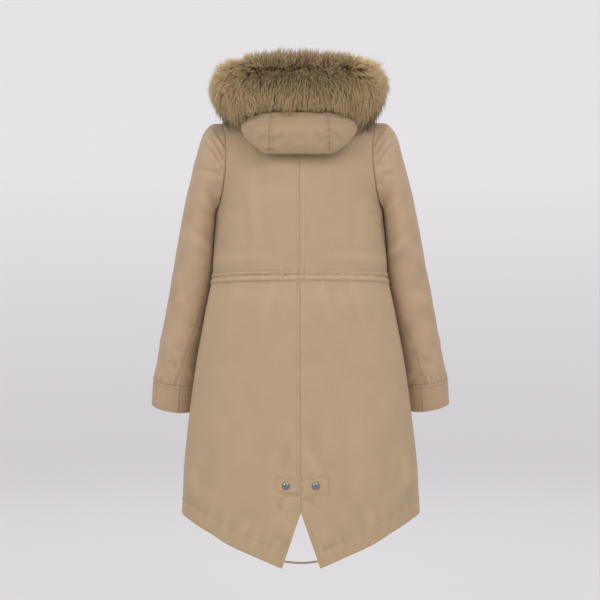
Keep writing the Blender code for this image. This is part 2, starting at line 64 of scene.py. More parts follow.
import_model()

# %% [markdown]
# ## Camera
# Seen from a few metres away, a hanging coat keeps its proportions. So the camera stands 3.5 m behind it,
# with a long lens, and looks level at its middle. Depth of field stays off, so that every angle is sharp.

# %% Camera
CAMERA_Y, CAMERA_Z = 3.5, -0.449
LENS = 89.3
ROLL = math.radians(0.25)

lens = bpy.data.cameras.new("camera")
lens.lens = LENS
camera = bpy.data.objects.new("camera", lens)
camera.location = (0.0, CAMERA_Y, CAMERA_Z)
camera.rotation_euler = (math.radians(90), ROLL, math.radians(180))
bpy.context.scene.collection.objects.link(camera)
bpy.context.scene.camera = camera
print("camera at", tuple(camera.location))

# %% [markdown]
# ## Reading short tables
# A pattern cutter works from a short table of measures and draws a fair curve through them. The functions
# here do so: a table has named columns, and `read` gives any column smoothly between its rows. Its slopes
# never overshoot, because a bump that nobody asked for would show on the cloth.


# %% Tables and vectors
def table(names, *rows):
    """The named columns of a short table, whose first column rises from row to row."""
    return dict(zip(names.split(), map(np.array, zip(*rows))))


def hermite(start, leaving, end, arriving, s):
    """The cubic from start to end with those two end tangents, at a share s of 0 to 1."""
    return (
        (1 + 2 * s) * (1 - s) ** 2 * start
        + s * (1 - s) ** 2 * leaving
        + s * s * (3 - 2 * s) * end
        + s * s * (s - 1) * arriving
    )


def read(columns, name, at):
    """One column of a table, smoothly between its rows."""
    keys = next(iter(columns.values())).astype(float)
    values = columns[name].astype(float)
    rates = np.diff(values) / np.diff(keys)
    both = rates[:-1] * rates[1:]
    mean = 2 * both / np.where(both > 0, rates[:-1] + rates[1:], 1)
    slopes = np.concatenate([rates[:1], np.where(both > 0, mean, 0), rates[-1:]])
    at = np.clip(at, keys[0], keys[-1])
    row = np.clip(np.searchsorted(keys, at), 1, len(keys) - 1)
    step = keys[row] - keys[row - 1]
    share = (at - keys[row - 1]) / step
    return hermite(values[row - 1], slopes[row - 1] * step, values[row], slopes[row] * step, share)


def points(x, y, z):
    return np.stack(np.broadcast_arrays(x, y, z), axis=-1).astype(float)


def unit(vectors):
    return vectors / np.maximum(np.linalg.norm(vectors, axis=-1, keepdims=True), 1e-12)


def dot(a, b):
    return np.sum(a * b, axis=-1)


def sine(degrees):
    return np.sin(np.radians(degrees))


def cosine(degrees):
    return np.cos(np.radians(degrees))


def smooth(low, high, value):
    """0 below low and 1 above high, with a soft step between them. low may be above high."""
    share = np.clip((value - low) / (high - low), 0, 1)
    return share * share * (3 - 2 * share)


def bell(distance, width):
    """1 at distance 0, and falling smoothly away over that width on both sides."""
    return np.exp(-((distance / width) ** 2))


def mirrored(hand, place):
    return place * np.array([hand, 1, 1])


# %% [markdown]
# ## The coat's sizes
# These are the measures that the solids were cut to, in metres, so that each sheet of cloth lies exactly
# on its solid. Heights are below the point where the shoulder seam meets the neck, and a table's rows run
# from the hem up, or from the armhole down.

# %% Sizes of the coat
CLOTH = 0.0020  # the shell cloth with its backing
TRIM = 0.0012  # one layer of cloth laid on a panel
GAP = 0.0003  # between neighbouring pieces
SEAM = 0.0008  # share of a panel's width left off at each seam

BACK, FRONT = 1, -1
LEFT, RIGHT = 1, -1
SIDE_NAMES = {BACK: "back", FRONT: "front"}
HAND_NAMES = {LEFT: "left", RIGHT: "right"}

CHEST_Z = -0.240  # the level of the armpits
WAIST_HIGH = -0.3795
WAIST_LOW = -0.4045
WAIST_DROP = 0.008  # how much lower the waist tunnel lies at the side seams
HEM_BAND = 0.036  # height of the hem tunnel
SQUARE = 0.03  # how far the torso's sections stand out past an ellipse

VENT_TOP = -0.928
TAIL_Z = -1.050
TAIL_SPREAD = 0.042  # half the gap between the two tail points

NECK_HALF = 0.082
NECK_DEPTH = {BACK: 0.070, FRONT: 0.088}
NECK_DROP = {BACK: 0.012, FRONT: 0.085}
SHOULDER_POINT = (0.182, -0.034)  # x and z
ARMHOLE_HALF_DEPTH = 0.068

PLACKET = (-0.038, 0.030)  # from the wearer's right front across the centre line
STUD_RADIUS = 0.0086
STUD_HEIGHT = 0.0034
FRONT_STUD_ROWS = (1.25, 1.5, 1.75, 2.5, 3.77, 4 + 4 / 9)
VENT_STUD = (0.0335, -0.8765)  # x and z

CORD_DIAMETER = 0.0045
CORD_Z = -1.036
CORD_SAG = 0.004
CUFF_SEAM = 109  # where the cuff's ends meet
FLAP_LIFT = 0.0011  # the flap clears the waist tunnel's ends and the front edges
FLAP_HEM = 0.02  # how far up it starts, in rows
FLAP_TOP = 4.95

# %% The torso's and the sleeves' tables
# The torso's sections. Depths are measured from the plane of the side seams.
TORSO = table(
    "z       half_width back_depth front_depth",
    (-1.060, 0.2840, 0.158, 0.150),
    (-0.950, 0.2785, 0.154, 0.150),
    (-0.850, 0.2750, 0.149, 0.146),
    (-0.750, 0.2650, 0.145, 0.141),
    (-0.610, 0.2460, 0.139, 0.136),
    (-0.480, 0.2230, 0.129, 0.130),
    (-0.392, 0.2070, 0.121, 0.126),
    (-0.310, 0.2010, 0.127, 0.137),
    (-0.240, 0.1955, 0.130, 0.142),
)

# The hem's height from the centre line (turn 0) to the side seam (turn 1).
HEM = table(
    "turn    back    front",
    (0.000, -1.053, -0.936),
    (0.095, -1.039, -0.937),
    (0.170, -1.028, -0.938),
    (0.340, -1.004, -0.940),
    (0.520, -0.975, -0.941),
    (0.760, -0.952, -0.943),
    (1.000, -0.944, -0.944),
)

# Along the top of a torso panel, from the centre line (0) past the neck to the shoulder point (1): how far
# forward the cloth leans as it arrives there, and how strongly.
NECK_SHARE = 0.3
TOP = table(
    "across lean  pull",
    (0.00, 34, 0.80),
    (0.15, 50, 0.85),
    (0.30, 84, 0.95),
    (0.50, 90, 1.10),
    (1.00, 90, 1.30),
)
ARMHOLE_FADE = 1.4  # the sleeve's ring at which its own ovals have taken over
ARMHOLE_HOLD = 1.4  # how closely the armhole's shape stays to the armhole

# The armhole from the shoulder point (angle 0) to the armpit (angle 180).
ARMHOLE = table(
    "angle  back   front",
    (-30, 0.1790, 0.1790),
    (0, 0.1820, 0.1820),
    (45, 0.1725, 0.1700),
    (70, 0.1690, 0.1640),
    (90, 0.1700, 0.1640),
    (120, 0.1765, 0.1725),
    (150, 0.1870, 0.1860),
    (180, 0.1955, 0.1955),
    (210, 0.1870, 0.1860),
)

# A sleeve's rings from the armhole to the cuff's edge: outermost and innermost point, middle in Y, half
# its depth, how far it leans forward, and where the two seams run (90 is the middle of its back).
CUFF_RING, LAST_RING = 12, 14
SLEEVE = table(
    "ring outer_x outer_z inner_x inner_z middle_y half_depth lean back_seam",
    (0, 0.1820, -0.0340, 0.1955, -0.2400, 0.000, 0.0680, 0, 160),
    (1, 0.2040, -0.0365, 0.1967, -0.2430, 0.000, 0.0700, 0, 160),
    (2, 0.2240, -0.0560, 0.1977, -0.2480, -0.001, 0.0720, 0, 160),
    (3, 0.2385, -0.0970, 0.1986, -0.2550, -0.002, 0.0735, 0, 160),
    (4, 0.2510, -0.1430, 0.1991, -0.2650, -0.005, 0.0730, 0, 160),
    (5, 0.2640, -0.1950, 0.2003, -0.2850, -0.010, 0.0715, 1, 160),
    (6, 0.2770, -0.2550, 0.2024, -0.3160, -0.018, 0.0690, 4, 159),
    (7, 0.2910, -0.3250, 0.2034, -0.3620, -0.028, 0.0655, 7, 155),
    (8, 0.3040, -0.3900, 0.2085, -0.4150, -0.040, 0.0620, 9, 148),
    (9, 0.3180, -0.4650, 0.2205, -0.4820, -0.050, 0.0580, 11, 133),
    (10, 0.3330, -0.5400, 0.2360, -0.5520, -0.060, 0.0540, 12, 116),
    (11, 0.3450, -0.6000, 0.2460, -0.6120, -0.070, 0.0500, 13, 103),
    (12, 0.3515, -0.6320, 0.2505, -0.6460, -0.076, 0.0480, 13, 96),
    (13, 0.3550, -0.6650, 0.2535, -0.6790, -0.083, 0.0475, 13, 96),
    (14, 0.3575, -0.6970, 0.2565, -0.7120, -0.091, 0.0470, 13, 96),
)
FRONT_SEAM = -140.0

# The fur trim from the centre back (station 0) round the neck to its end on the chest (station 1).
FUR = table(
    "station x      y      z     half_depth half_height",
    (0.00, 0.0000, 0.1520, 0.0435, 0.0550, 0.0715),
    (0.25, 0.0680, 0.1460, 0.0440, 0.0565, 0.0715),
    (0.42, 0.1130, 0.1160, 0.0430, 0.0600, 0.0715),
    (0.55, 0.1370, 0.0720, 0.0420, 0.0650, 0.0700),
    (0.68, 0.1430, 0.0150, 0.0530, 0.0630, 0.0630),
    (0.78, 0.1330, -0.0450, 0.0390, 0.0570, 0.0580),
    (0.88, 0.1080, -0.1020, 0.0000, 0.0500, 0.0520),
    (0.95, 0.0800, -0.1390, -0.0480, 0.0440, 0.0450),
    (1.00, 0.0560, -0.1560, -0.0900, 0.0340, 0.0350),
)

# The hood from the centre back (station 0) to its front ends (station 1): the place on the neckline (1 is
# the shoulder seam), the lowest point of the bag, how far the cloth lifts off the neck and bulges
# outwards, and where round the trim's section it meets the fur.
HOOD_SEAM = 0.225
HOOD = table(
    "station neck  bag low_x   low_y   low_z   lift   bulge  meets",
    (0.00, 0.00, 1.0, 0.0000, 0.1390, -0.1175, 0.026, 0.027, -84),
    (0.12, 0.24, 1.0, 0.0360, 0.1380, -0.1175, 0.026, 0.027, -84),
    (0.25, 0.48, 1.0, 0.0720, 0.1320, -0.1165, 0.024, 0.025, -84),
    (0.36, 0.64, 1.0, 0.1000, 0.1230, -0.0985, 0.018, 0.018, -88),
    (0.46, 0.77, 1.0, 0.1255, 0.1050, -0.0670, 0.012, 0.008, -92),
    (0.54, 0.87, 0.85, 0.1350, 0.0860, -0.0450, 0.000, 0.002, -104),
    (0.60, 0.94, 0.5, 0.1250, 0.0600, -0.0380, 0.000, 0.000, -120),
    (0.67, 1.00, 0.0, 0.1000, 0.0300, 0.0060, 0.000, 0.000, -140),
    (0.80, 1.25, 0.0, 0.0880, -0.0480, -0.0170, 0.000, 0.000, -150),
    (0.91, 1.50, 0.0, 0.0690, -0.0900, -0.0600, 0.000, 0.000, -140),
    (1.00, 1.70, 0.0, 0.0500, -0.1120, -0.0840, 0.000, 0.000, -130),
)

print("torso rows", len(TORSO["z"]), "sleeve rings", len(SLEEVE["ring"]))

# %% [markdown]
# ## The body's surface
# A coat's back and front are each cut as one flat shape from hem to shoulder. Here both come from one
# smooth surface: ovals below the armpit, and above it a cubic that leans in to the neckline and shoulder
# seam. `torso` gives the outer face for a place across a panel and a place up it, so that a crease, a
# stitch and a stud can all ask the same question.


# %% The torso
def section(side, turn, z):
    """The torso's outer face below the armholes: turn is 0 at the centre line and 1 at the side seam."""
    angle = 90 * turn
    stretch = 1 + SQUARE * sine(2 * angle) ** 2
    depth = read(TORSO, "back_depth" if side == BACK else "front_depth", z)
    width = read(TORSO, "half_width", z)
    return points(width * sine(angle) * stretch, side * depth * cosine(angle) * stretch, z)


def neckline(side, along):
    """The edge of the neck from the centre line (0) to the shoulder seam (1)."""
    angle = 90 * along
    return points(
        NECK_HALF * sine(angle),
        side * NECK_DEPTH[side] * cosine(angle),
        -NECK_DROP[side] * cosine(angle) ** 2,
    )


def shoulder_seam(along):
    x, z = SHOULDER_POINT
    ease = 0.002 * sine(180 * along)
    return points(NECK_HALF + (x - NECK_HALF) * along, 0, z * along + ease)


def armhole(side, angle):
    """The armhole's edge from the shoulder point (0) to the armpit (180)."""
    top = SHOULDER_POINT[1]
    return points(
        read(ARMHOLE, "back" if side == BACK else "front", angle),
        side * ARMHOLE_HALF_DEPTH * sine(angle),
        (top + CHEST_Z) / 2 + (top - CHEST_Z) / 2 * cosine(angle),
    )


def yoke(side, across, share):
    """The outer face above the chest, from there (share 0) to the neckline and shoulder seam (1)."""
    level = np.full_like(across, CHEST_Z)
    chest = section(side, across, level)
    rising = unit(chest - section(side, across, level - 0.02))
    on_neck = neckline(side, np.clip(across / NECK_SHARE, -1, 1))
    on_shoulder = shoulder_seam((across - NECK_SHARE) / (1 - NECK_SHARE))
    end = np.where((across < NECK_SHARE)[..., None], on_neck, on_shoulder)
    lean = read(TOP, "lean", across)
    reach = np.linalg.norm(end - chest, axis=-1)[..., None]
    arriving = points(0, -side * sine(lean), cosine(lean)) * read(TOP, "pull", across)[..., None]
    return hermite(chest, rising * reach, end, arriving * reach, share[..., None])


def hem_height(side, turn):
    return read(HEM, "back" if side == BACK else "front", turn)


def torso(side, hand, across, up):
    """The coat's outer face. `up` is 0 at the hem, 1 on top of the hem tunnel, 2 and 3 at the edges of
    the waist tunnel, 4 at the chest and 5 at the neckline, the shoulder seam and the armhole."""
    across, up = np.broadcast_arrays(np.asarray(across, float), np.asarray(up, float))
    hem = hem_height(side, across)
    drop = WAIST_DROP * across**2
    levels = (hem, hem + HEM_BAND, WAIST_LOW - drop, WAIST_HIGH - drop, CHEST_Z + 0 * hem)
    z = levels[0] + (levels[1] - levels[0]) * np.minimum(up, 1)
    for low in (1, 2, 3):
        z = z + (levels[low + 1] - levels[low]) * np.clip(up - low, 0, 1)
    turn = across
    if side == BACK:
        open_by = TAIL_SPREAD * np.clip((VENT_TOP - z) / (VENT_TOP - TAIL_Z), 0, None)
        edge = np.degrees(np.arcsin(open_by / read(TORSO, "half_width", z))) / 90
        turn = edge + (1 - edge) * across
    below = section(side, turn, z)

    share = np.clip(up - 4, 0, 1)
    shift = armhole(side, 180 * (1 - share)) - yoke(side, np.ones_like(across), share)
    chest = np.full_like(across, CHEST_Z)
    inward = unit(section(side, across - 1e-3, chest) - section(side, across + 1e-3, chest))
    outward = side * points(inward[..., 1], -inward[..., 0], 0)
    turned = side * shift[..., 1:2] * inward + shift[..., :1] * outward
    turned = turned + shift * np.array([0, 0, 1])
    hold = np.clip(across, 0, None) ** ARMHOLE_HOLD
    above = yoke(side, across, share) + hold[..., None] * turned
    return mirrored(hand, np.where(up[..., None] < 4, below, above))


def halved(short_of, low, high, steps):
    """The place between low and high up to which short_of(place) is true, found by halving."""
    for _ in range(steps):
        middle = (low + high) / 2
        short = short_of(middle)
        low, high = np.where(short, middle, low), np.where(short, high, middle)
    return (low + high) / 2


def across_at(side, x, up):
    """The place across a panel at which the torso reaches x."""
    seam = np.zeros_like(np.asarray(up, float))
    return halved(lambda across: torso(side, LEFT, across, up)[..., 0] < x, seam, seam + 0.29, 30)


def hand_of(x):
    """The side of the centre line that a place is on."""
    return np.where(x < 0, RIGHT, LEFT)


def height_at(side, z):
    """How far up a panel the centre line reaches height z."""
    hem = np.zeros(1)
    return halved(lambda up: torso(side, LEFT, hem, up)[..., 2] < z, hem, hem + 5.0, 40)


# %% [markdown]
# ## The sleeves' surface
# A two-piece sleeve follows the bent arm. It is a run of leaning ovals, and the first one is the armhole
# itself, so that sleeve and body share their seam.


# %% A sleeve
def ring_of(ring, angle):
    """An oval ring of the sleeve: angle 0 is its outermost point, 90 the middle of its back."""
    column = {name: read(SLEEVE, name, ring) for name in SLEEVE}
    outer, inner = (points(column[end + "_x"], 0, column[end + "_z"]) for end in ("outer", "inner"))
    middle = (outer + inner) / 2 + points(0, column["middle_y"], 0)
    outward = (outer - inner) / 2
    backward = points(0, cosine(column["lean"]), -sine(column["lean"]))
    backward = backward * column["half_depth"][..., None]
    return middle + outward * cosine(angle)[..., None] + backward * sine(angle)[..., None]


def sleeve(hand, angle, ring):
    """The sleeve's outer face. Its first ring is the armhole, and its own ovals soon take over."""
    angle, ring = np.broadcast_arrays(np.asarray(angle, float), np.asarray(ring, float))
    turned = (angle + 180) % 360 - 180
    behind, before = (armhole(side, np.abs(turned)) for side in (BACK, FRONT))
    seam = np.where((turned > 0)[..., None], behind, before)
    fitted = seam - ring_of(np.zeros_like(ring), angle)
    share = np.clip(1 - ring / ARMHOLE_FADE, 0, 1)[..., None] ** 2
    return mirrored(hand, ring_of(ring, angle) + fitted * share)


# %% [markdown]
# ## The hood's and the fur's surfaces
# The fur trim is a thick roll round the hood's edge. With the hood down it lies round the neck, and the
# hood hangs from it as a shallow bag on the back.


# %% The fur's reach and the hood
def fur_frame(station):
    """The middle of the fur trim, and its outward and upward directions across its run."""
    along = np.abs(station)

    def middle(at):
        return points(*(read(FUR, axis, at) for axis in "xyz"))

    run = unit(middle(along + 0.01) - middle(along - 0.01))
    out = unit(np.cross(run, np.array([0.0, 0.0, 1.0])) * -1)
    up = np.cross(run, out)
    flip = points(hand_of(station), 1, 1)
    return middle(along) * flip, out * flip, unit(up) * flip


def fur(station, angle):
    """The reach of the fur: angle 0 faces away from the neck, 90 is up."""
    station, angle = np.broadcast_arrays(np.asarray(station, float), np.asarray(angle, float))
    middle, out, up = fur_frame(station)
    depth = read(FUR, "half_depth", np.abs(station))[..., None]
    height = read(FUR, "half_height", np.abs(station))[..., None]
    return middle + out * depth * cosine(angle)[..., None] + up * height * sine(angle)[..., None]


def hood(station, along):
    """The hood's outer face from the neck seam (along 0) down into the bag and up to the fur (1)."""
    station, along = np.broadcast_arrays(np.asarray(station, float), np.asarray(along, float))
    half = np.abs(station)
    place = read(HOOD, "neck", half)
    seam = np.where((place <= 1)[..., None], neckline(BACK, place), neckline(FRONT, 2 - place))
    seam = seam * np.array([0.975, 0.975, 1]) + np.array([0, 0, 1.5 * CLOTH])
    low = points(*(read(HOOD, name, half) for name in ("low_x", "low_y", "low_z")))
    middle, out, up = fur_frame(half)
    depth = read(FUR, "half_depth", half) + CLOTH
    height = read(FUR, "half_height", half) + CLOTH
    inward = seam - middle
    facing = np.degrees(np.arctan2(dot(inward, up) / height, dot(inward, out) / depth))
    bag = read(HOOD, "bag", half)
    meets = bag * read(HOOD, "meets", half) + (1 - bag) * facing
    end = middle + out * (depth * cosine(meets))[..., None] + up * (height * sine(meets))[..., None]
    low = bag[..., None] * low + (1 - bag)[..., None] * (seam + end) / 2
    lift = read(HOOD, "lift", half)[..., None] * np.array([0, 0, 1.0])
    bulge = read(HOOD, "bulge", half)[..., None] * out
    stops = [seam, seam + 0.35 * (low - seam) + lift, low, (low + end) / 2 + bulge, end]
    last = len(stops) - 1
    inner = [(stops[i + 1] - stops[i - 1]) / 2 for i in range(1, last)]
    tangents = [stops[1] - stops[0], *inner, stops[last] - stops[last - 1]]
    place = np.clip(along * last, 0, last)
    span = np.clip(place.astype(int), 0, last - 1)
    found = np.zeros_like(seam)
    for i in range(last):
        here = hermite(stops[i], tangents[i], stops[i + 1], tangents[i + 1], (place - i)[..., None])
        found = np.where((span == i)[..., None], here, found)
    return found * points(hand_of(station), 1, 1)


def normals(surface, first, second, inside):
    """Unit normals of surface(first, second), on the whole pointing away from the place inside."""
    step = 1e-3
    a = surface(first + step, second) - surface(first - step, second)
    b = surface(first, second + step) - surface(first, second - step)
    found = unit(np.cross(a, b))
    return found * np.sign(np.sum(found * (surface(first, second) - inside)))


# %% [markdown]
# ## Creases
# Cotton canvas is stiff, so it keeps soft, uneven folds where it was gathered, bent or pulled. A cloth
# simulation would give other folds each time it is changed. Here each main fold is a row of a table: where
# it starts and ends as seen square on, how far it bows, its half width and its height, below zero for a
# trough. `lean` turns a fold into a step, and `firm` keeps its first end high, as where a seam pinches it.

# %% Folds, given one by one
BEHIND, AHEAD, BESIDE = "behind", "ahead", "beside"
VIEWS = {BEHIND: (0, 2, 1, 1), AHEAD: (0, 2, 1, -1), BESIDE: (1, 2, 0, 1)}
FOLD_COLUMNS = "x z to_x to_z bow width height lean firm"


def folds(view, *rows):
    """The folds of a short table, all as seen from one side."""
    return [{"view": view, **dict(zip(FOLD_COLUMNS.split(), row))} for row in rows]


def fold_height(fold, place, out):
    """How far one fold lifts the cloth at each place, whose outward direction is out."""
    first, second, facing, sign = VIEWS[fold["view"]]
    if fold["view"] == BESIDE:
        sign = np.sign(place[..., 0])
    start = np.array([fold["x"], fold["z"]])
    run = np.array([fold["to_x"], fold["to_z"]]) - start
    length = np.hypot(*run)
    along = run / length
    here = np.stack([place[..., first], place[..., second]], axis=-1) - start
    share = here @ along / length
    away = here @ np.array([-along[1], along[0]]) - fold["bow"] * 4 * share * (1 - share)
    far = away / fold["width"]
    hump = np.exp(-far * far)
    shape = hump * (1 - abs(fold["lean"])) + 1.65 * fold["lean"] * far * hump
    opening = fold["firm"] + (1 - fold["firm"]) * smooth(0.0, 0.45, share)
    ends = opening * smooth(1.0, 0.45, share) * smooth(-0.12, 0.0, share)
    return fold["height"] * shape * ends * smooth(0.0, 0.35, sign * out[..., facing])


def fold_relief(folds, place, out):
    total = np.zeros(place.shape[:-1])
    for fold in folds:
        total += fold_height(fold, place, out)
    return total


# %% [markdown]
# ## Small unevenness
# Two more things keep cloth from looking like card. A seam that was sewn tighter than its cloth puckers in
# an uneven wave, which `ripple` makes from a few wavelengths. A worn panel is never quite flat, which
# `soft_noise` gives: random heights on a lattice, smoothly joined, with a fixed seed.

# %% Ripples and soft noise
LATTICE = np.random.default_rng(7).uniform(-1, 1, (32, 32, 32))


def ripple(along, seed, *lengths):
    """An uneven wave between about -1 and 1 along a seam."""
    phases = np.random.default_rng(seed).uniform(0, 2 * np.pi, (len(lengths), 2))
    total = np.zeros_like(along)
    for length, (phase, drift) in zip(lengths, phases):
        bend = 0.9 * np.sin(along / (length * 5.3) + drift)
        total += np.sin(2 * np.pi * along / length + phase + bend)
    return total / len(lengths) ** 0.5


def soft_noise(place, size, shift=0.0):
    """Smooth noise between -1 and 1 with features of about that size, a number or one for each axis."""
    spot = place / np.asarray(size) + shift
    base = np.floor(spot).astype(int)
    share = spot - base
    share = share * share * (3 - 2 * share)
    total = np.zeros(place.shape[:-1])
    for corner in np.ndindex(2, 2, 2):
        weight = np.prod(np.where(np.array(corner) == 1, share, 1 - share), axis=-1)
        x, y, z = np.moveaxis((base + np.array(corner)) % 32, -1, 0)
        total += weight * LATTICE[x, y, z]
    return total


# %% [markdown]
# ## A sheet of cloth
# Every cloth piece is made in one way. A grid of its surface is pushed out by its relief, a second grid
# lies one cloth thickness inside, and a rim joins them, so the sheet is closed and has a real edge. The
# UV map holds the cut itself, in metres, so that the weave runs with the threads. Two attributes help the
# finish: `crest` is high on ridges and low in troughs, and `edge` marks the sewn edges.

# %% Making a sheet
CREST_REACH = 3  # in steps of the grid
CREST_HEIGHT = 0.0008


def link(obj):
    bpy.context.scene.collection.objects.link(obj)
    return obj


def strip(rows, columns, offset, closed=False):
    """The faces of a grid of points, column by column, each looking along rows x columns."""
    r, c = np.meshgrid(np.arange(rows - 1), np.arange(columns - (not closed)), indexing="ij")
    after = (c + 1) % columns
    faces = [r * columns + c, r * columns + after, (r + 1) * columns + after, (r + 1) * columns + c]
    return np.stack(faces, axis=-1).reshape(-1, 4) + offset


def mesh_object(name, vertices, faces, finish):
    mesh = bpy.data.meshes.new(name)
    mesh.from_pydata(vertices.tolist(), [], faces if isinstance(faces, list) else faces.tolist())
    mesh.materials.append(finish)
    mesh.shade_smooth()
    return link(bpy.data.objects.new(name, mesh))


def write(mesh, name, values, kind="FLOAT"):
    """A named value at every vertex, for a material or a node tree to read."""
    field = {"FLOAT": "value", "FLOAT_VECTOR": "vector"}[kind]
    mesh.attributes.new(name, kind, "POINT").data.foreach_set(field, np.ravel(values))


def crest_of(height):
    """How far each point of a grid stands above its neighbours, from -1 to 1."""
    around = np.zeros_like(height)
    padded = np.pad(height, CREST_REACH, mode="edge")
    steps = [(r, c) for r in (0, 1, 2) for c in (0, 1, 2) if (r, c) != (1, 1)]
    for r, c in steps:
        down, right = r * CREST_REACH, c * CREST_REACH
        around += padded[down : down + height.shape[0], right : right + height.shape[1]]
    return np.clip((height - around / len(steps)) / CREST_HEIGHT, -1, 1)


def travelled(place, axis=0):
    """The distance gone along a path, or along a grid's rows (axis 1) or columns (axis 0)."""
    steps = np.linalg.norm(np.diff(place, axis=axis), axis=-1)
    return np.insert(np.cumsum(steps, axis=axis), 0, 0, axis=axis)


def run_lengths(place, axis):
    """The same from the grid's middle, so that it is below zero on one side."""
    total = travelled(place, axis)
    middle = np.take(total, [place.shape[axis] // 2], axis=axis)
    return total - middle


def cloth_sheet(name, skin, first, second, thickness, edge, finish):
    """A closed sheet over a grid. skin(across, up) gives its outer points, its outward directions and
    its relief; edge(across, up) is how near a sewn edge it is, from 0 to 1."""
    across, up = np.meshgrid(np.asarray(first, float), np.asarray(second, float))
    place, out, height = skin(across, up)
    rows, columns = across.shape
    thick = np.broadcast_to(np.reshape(thickness, (-1, 1, 1)), (rows, 1, 1))
    outer, inner = place.reshape(-1, 3), (place - out * thick).reshape(-1, 3)
    count = rows * columns
    faces = strip(rows, columns, 0)
    grid = np.arange(count).reshape(rows, columns)
    ring = np.concatenate([grid[0], grid[1:, -1], grid[-1, -2::-1], grid[-2:0:-1, 0]])
    after = np.roll(ring, -1)
    border = np.stack([after, ring, ring + count, after + count], axis=-1)
    faces = np.concatenate([faces, faces[:, ::-1] + count, border])
    sample = faces[len(faces) // 4]
    a, b, c = outer[sample[:3]]
    if np.dot(np.cross(b - a, c - a), out.reshape(-1, 3)[sample[0]]) < 0:
        faces = faces[:, ::-1]
    made = mesh_object(name, np.concatenate([outer, inner]), faces, finish)
    made.data.set_sharp_from_angle(angle=math.radians(50))
    # crest sets the painted light on ridges and the painted shade in troughs; edge sets the painted shade
    # along the sewn edges.
    crest, near = crest_of(height), edge(across, up)
    write(made.data, "crest", np.concatenate([crest, crest]))
    write(made.data, "edge", np.concatenate([near, near]))
    cut = np.stack([run_lengths(place, 1), run_lengths(place, 0)], axis=-1).reshape(-1, 2)
    corners = np.empty(len(made.data.loops), int)
    made.data.loops.foreach_get("vertex_index", corners)
    layer = made.data.uv_layers.new(name="cut")
    layer.data.foreach_set("uv", np.concatenate([cut, cut])[corners].ravel())
    return made


def areas(obj):
    """Half the area of a closed sheet, and the longest width and length of its cut."""
    cut = np.empty(len(obj.data.loops) * 2)
    obj.data.uv_layers["cut"].data.foreach_get("uv", cut)
    cut = cut.reshape(-1, 2)
    half = sum(face.area for face in obj.data.polygons) / 2
    return half, *(cut.max(axis=0) - cut.min(axis=0))


sheets, skins = {}, {}


def lay(name, skin, first, second, thickness, edge, finish):
    """Makes a sheet and keeps it with its skin, which the stitches and studs on it will ask."""
    skins[name] = skin
    sheets[name] = cloth_sheet(name + "_cloth", skin, first, second, thickness, edge, finish)
    print(name, "area, width, length:", [round(v, 3) for v in areas(sheets[name])])


def skin_of(surface, relief, inside):
    """The outer cloth over a surface, as one function of the two places on it."""

    def skin(across, up):
        place = surface(across, up)
        out = normals(surface, across, up, inside)
        height = relief(across, up, place, out)
        return place + out * height[..., None], out, height

    return skin


def graded(start, end, count, *fine):
    """Places from start to end, closer together near each fine (place, reach, step)."""
    places = [start, end]
    for middle, reach, step in fine:
        places += list(np.arange(middle - reach, middle + reach + step / 2, step))
    places = sorted(p for p in places if start <= p <= end)
    wide = (end - start) / count
    filled = []
    for here, there in zip(places, places[1:]):
        steps = max(1, math.ceil((there - here) / wide - 1e-6))
        filled += list(here + (there - here) * np.arange(steps) / steps)
    filled = np.array(filled + [end])
    keep = np.insert(np.diff(filled) > 1e-6, 0, True)
    return filled[keep]


# %% [markdown]
# ## Finishes
# Three finishes make the coat: a matte cotton twill, long fur that is dark at the roots and pale at the
# tips, and nickel, whose dark colour is a painted reflection. An effect that several materials share is a
# node group with named inputs, built once. Its values change over the surface, and the shader itself stays
# in each material.


# %% Building node trees
def add_node(tree, kind, values=None, **settings):
    """A node with its settings. A value is a number, a colour or another node's output."""
    made = tree.nodes.new(kind)
    for name, value in settings.items():
        setattr(made, name, value)
    for name, value in (values or {}).items():
        if isinstance(value, bpy.types.NodeSocket):
            tree.links.new(value, made.inputs[name])
        else:
            made.inputs[name].default_value = value
    return made


def math_node(tree, operation, first, second=0.0):
    return add_node(tree, "ShaderNodeMath", {0: first, 1: second}, operation=operation).outputs[0]


def scaled(tree, value, factor, plus):
    """A value times a factor, plus a number."""
    made = math_node(tree, "MULTIPLY_ADD", value, factor)
    made.node.inputs[2].default_value = plus
    return made


def noise(tree, vector, scale, detail=4.0):
    values = {"Vector": vector, "Scale": scale, "Detail": detail}
    return add_node(tree, "ShaderNodeTexNoise", values).outputs["Fac"]


def coordinates(tree, kind):
    return add_node(tree, "ShaderNodeTexCoord").outputs[kind]


def attribute(tree, name):
    return add_node(tree, "ShaderNodeAttribute", attribute_name=name).outputs["Fac"]


def tinted(tree, colour, factor):
    values = {0: colour, "Scale": factor}
    return add_node(tree, "ShaderNodeVectorMath", values, operation="SCALE").outputs[0]


def colour_ramp(tree, share, first, last, *between):
    """A colour that follows a share of 0 to 1. Each stop is a place on the ramp and its colour."""
    ramp = add_node(tree, "ShaderNodeValToRGB", {"Fac": share})
    stops = ramp.color_ramp.elements
    for stop, (place, colour) in zip(list(stops), (first, last)):
        stop.position, stop.color = place, (*colour, 1)
    for place, colour in between:
        stops.new(place).color = (*colour, 1)
    return ramp.outputs["Color"]


def new_tree(name, kind, inputs, outputs):
    """An empty node group, the sockets that bring its inputs in and those that take its results."""
    tree = bpy.data.node_groups.new(name, kind)
    for title, socket, value in inputs:
        made = tree.interface.new_socket(title, in_out="INPUT", socket_type=socket)
        if value is not None:
            made.default_value = value
    for title, socket in outputs:
        tree.interface.new_socket(title, in_out="OUTPUT", socket_type=socket)
    return tree, tree.nodes.new("NodeGroupInput").outputs, tree.nodes.new("NodeGroupOutput").inputs


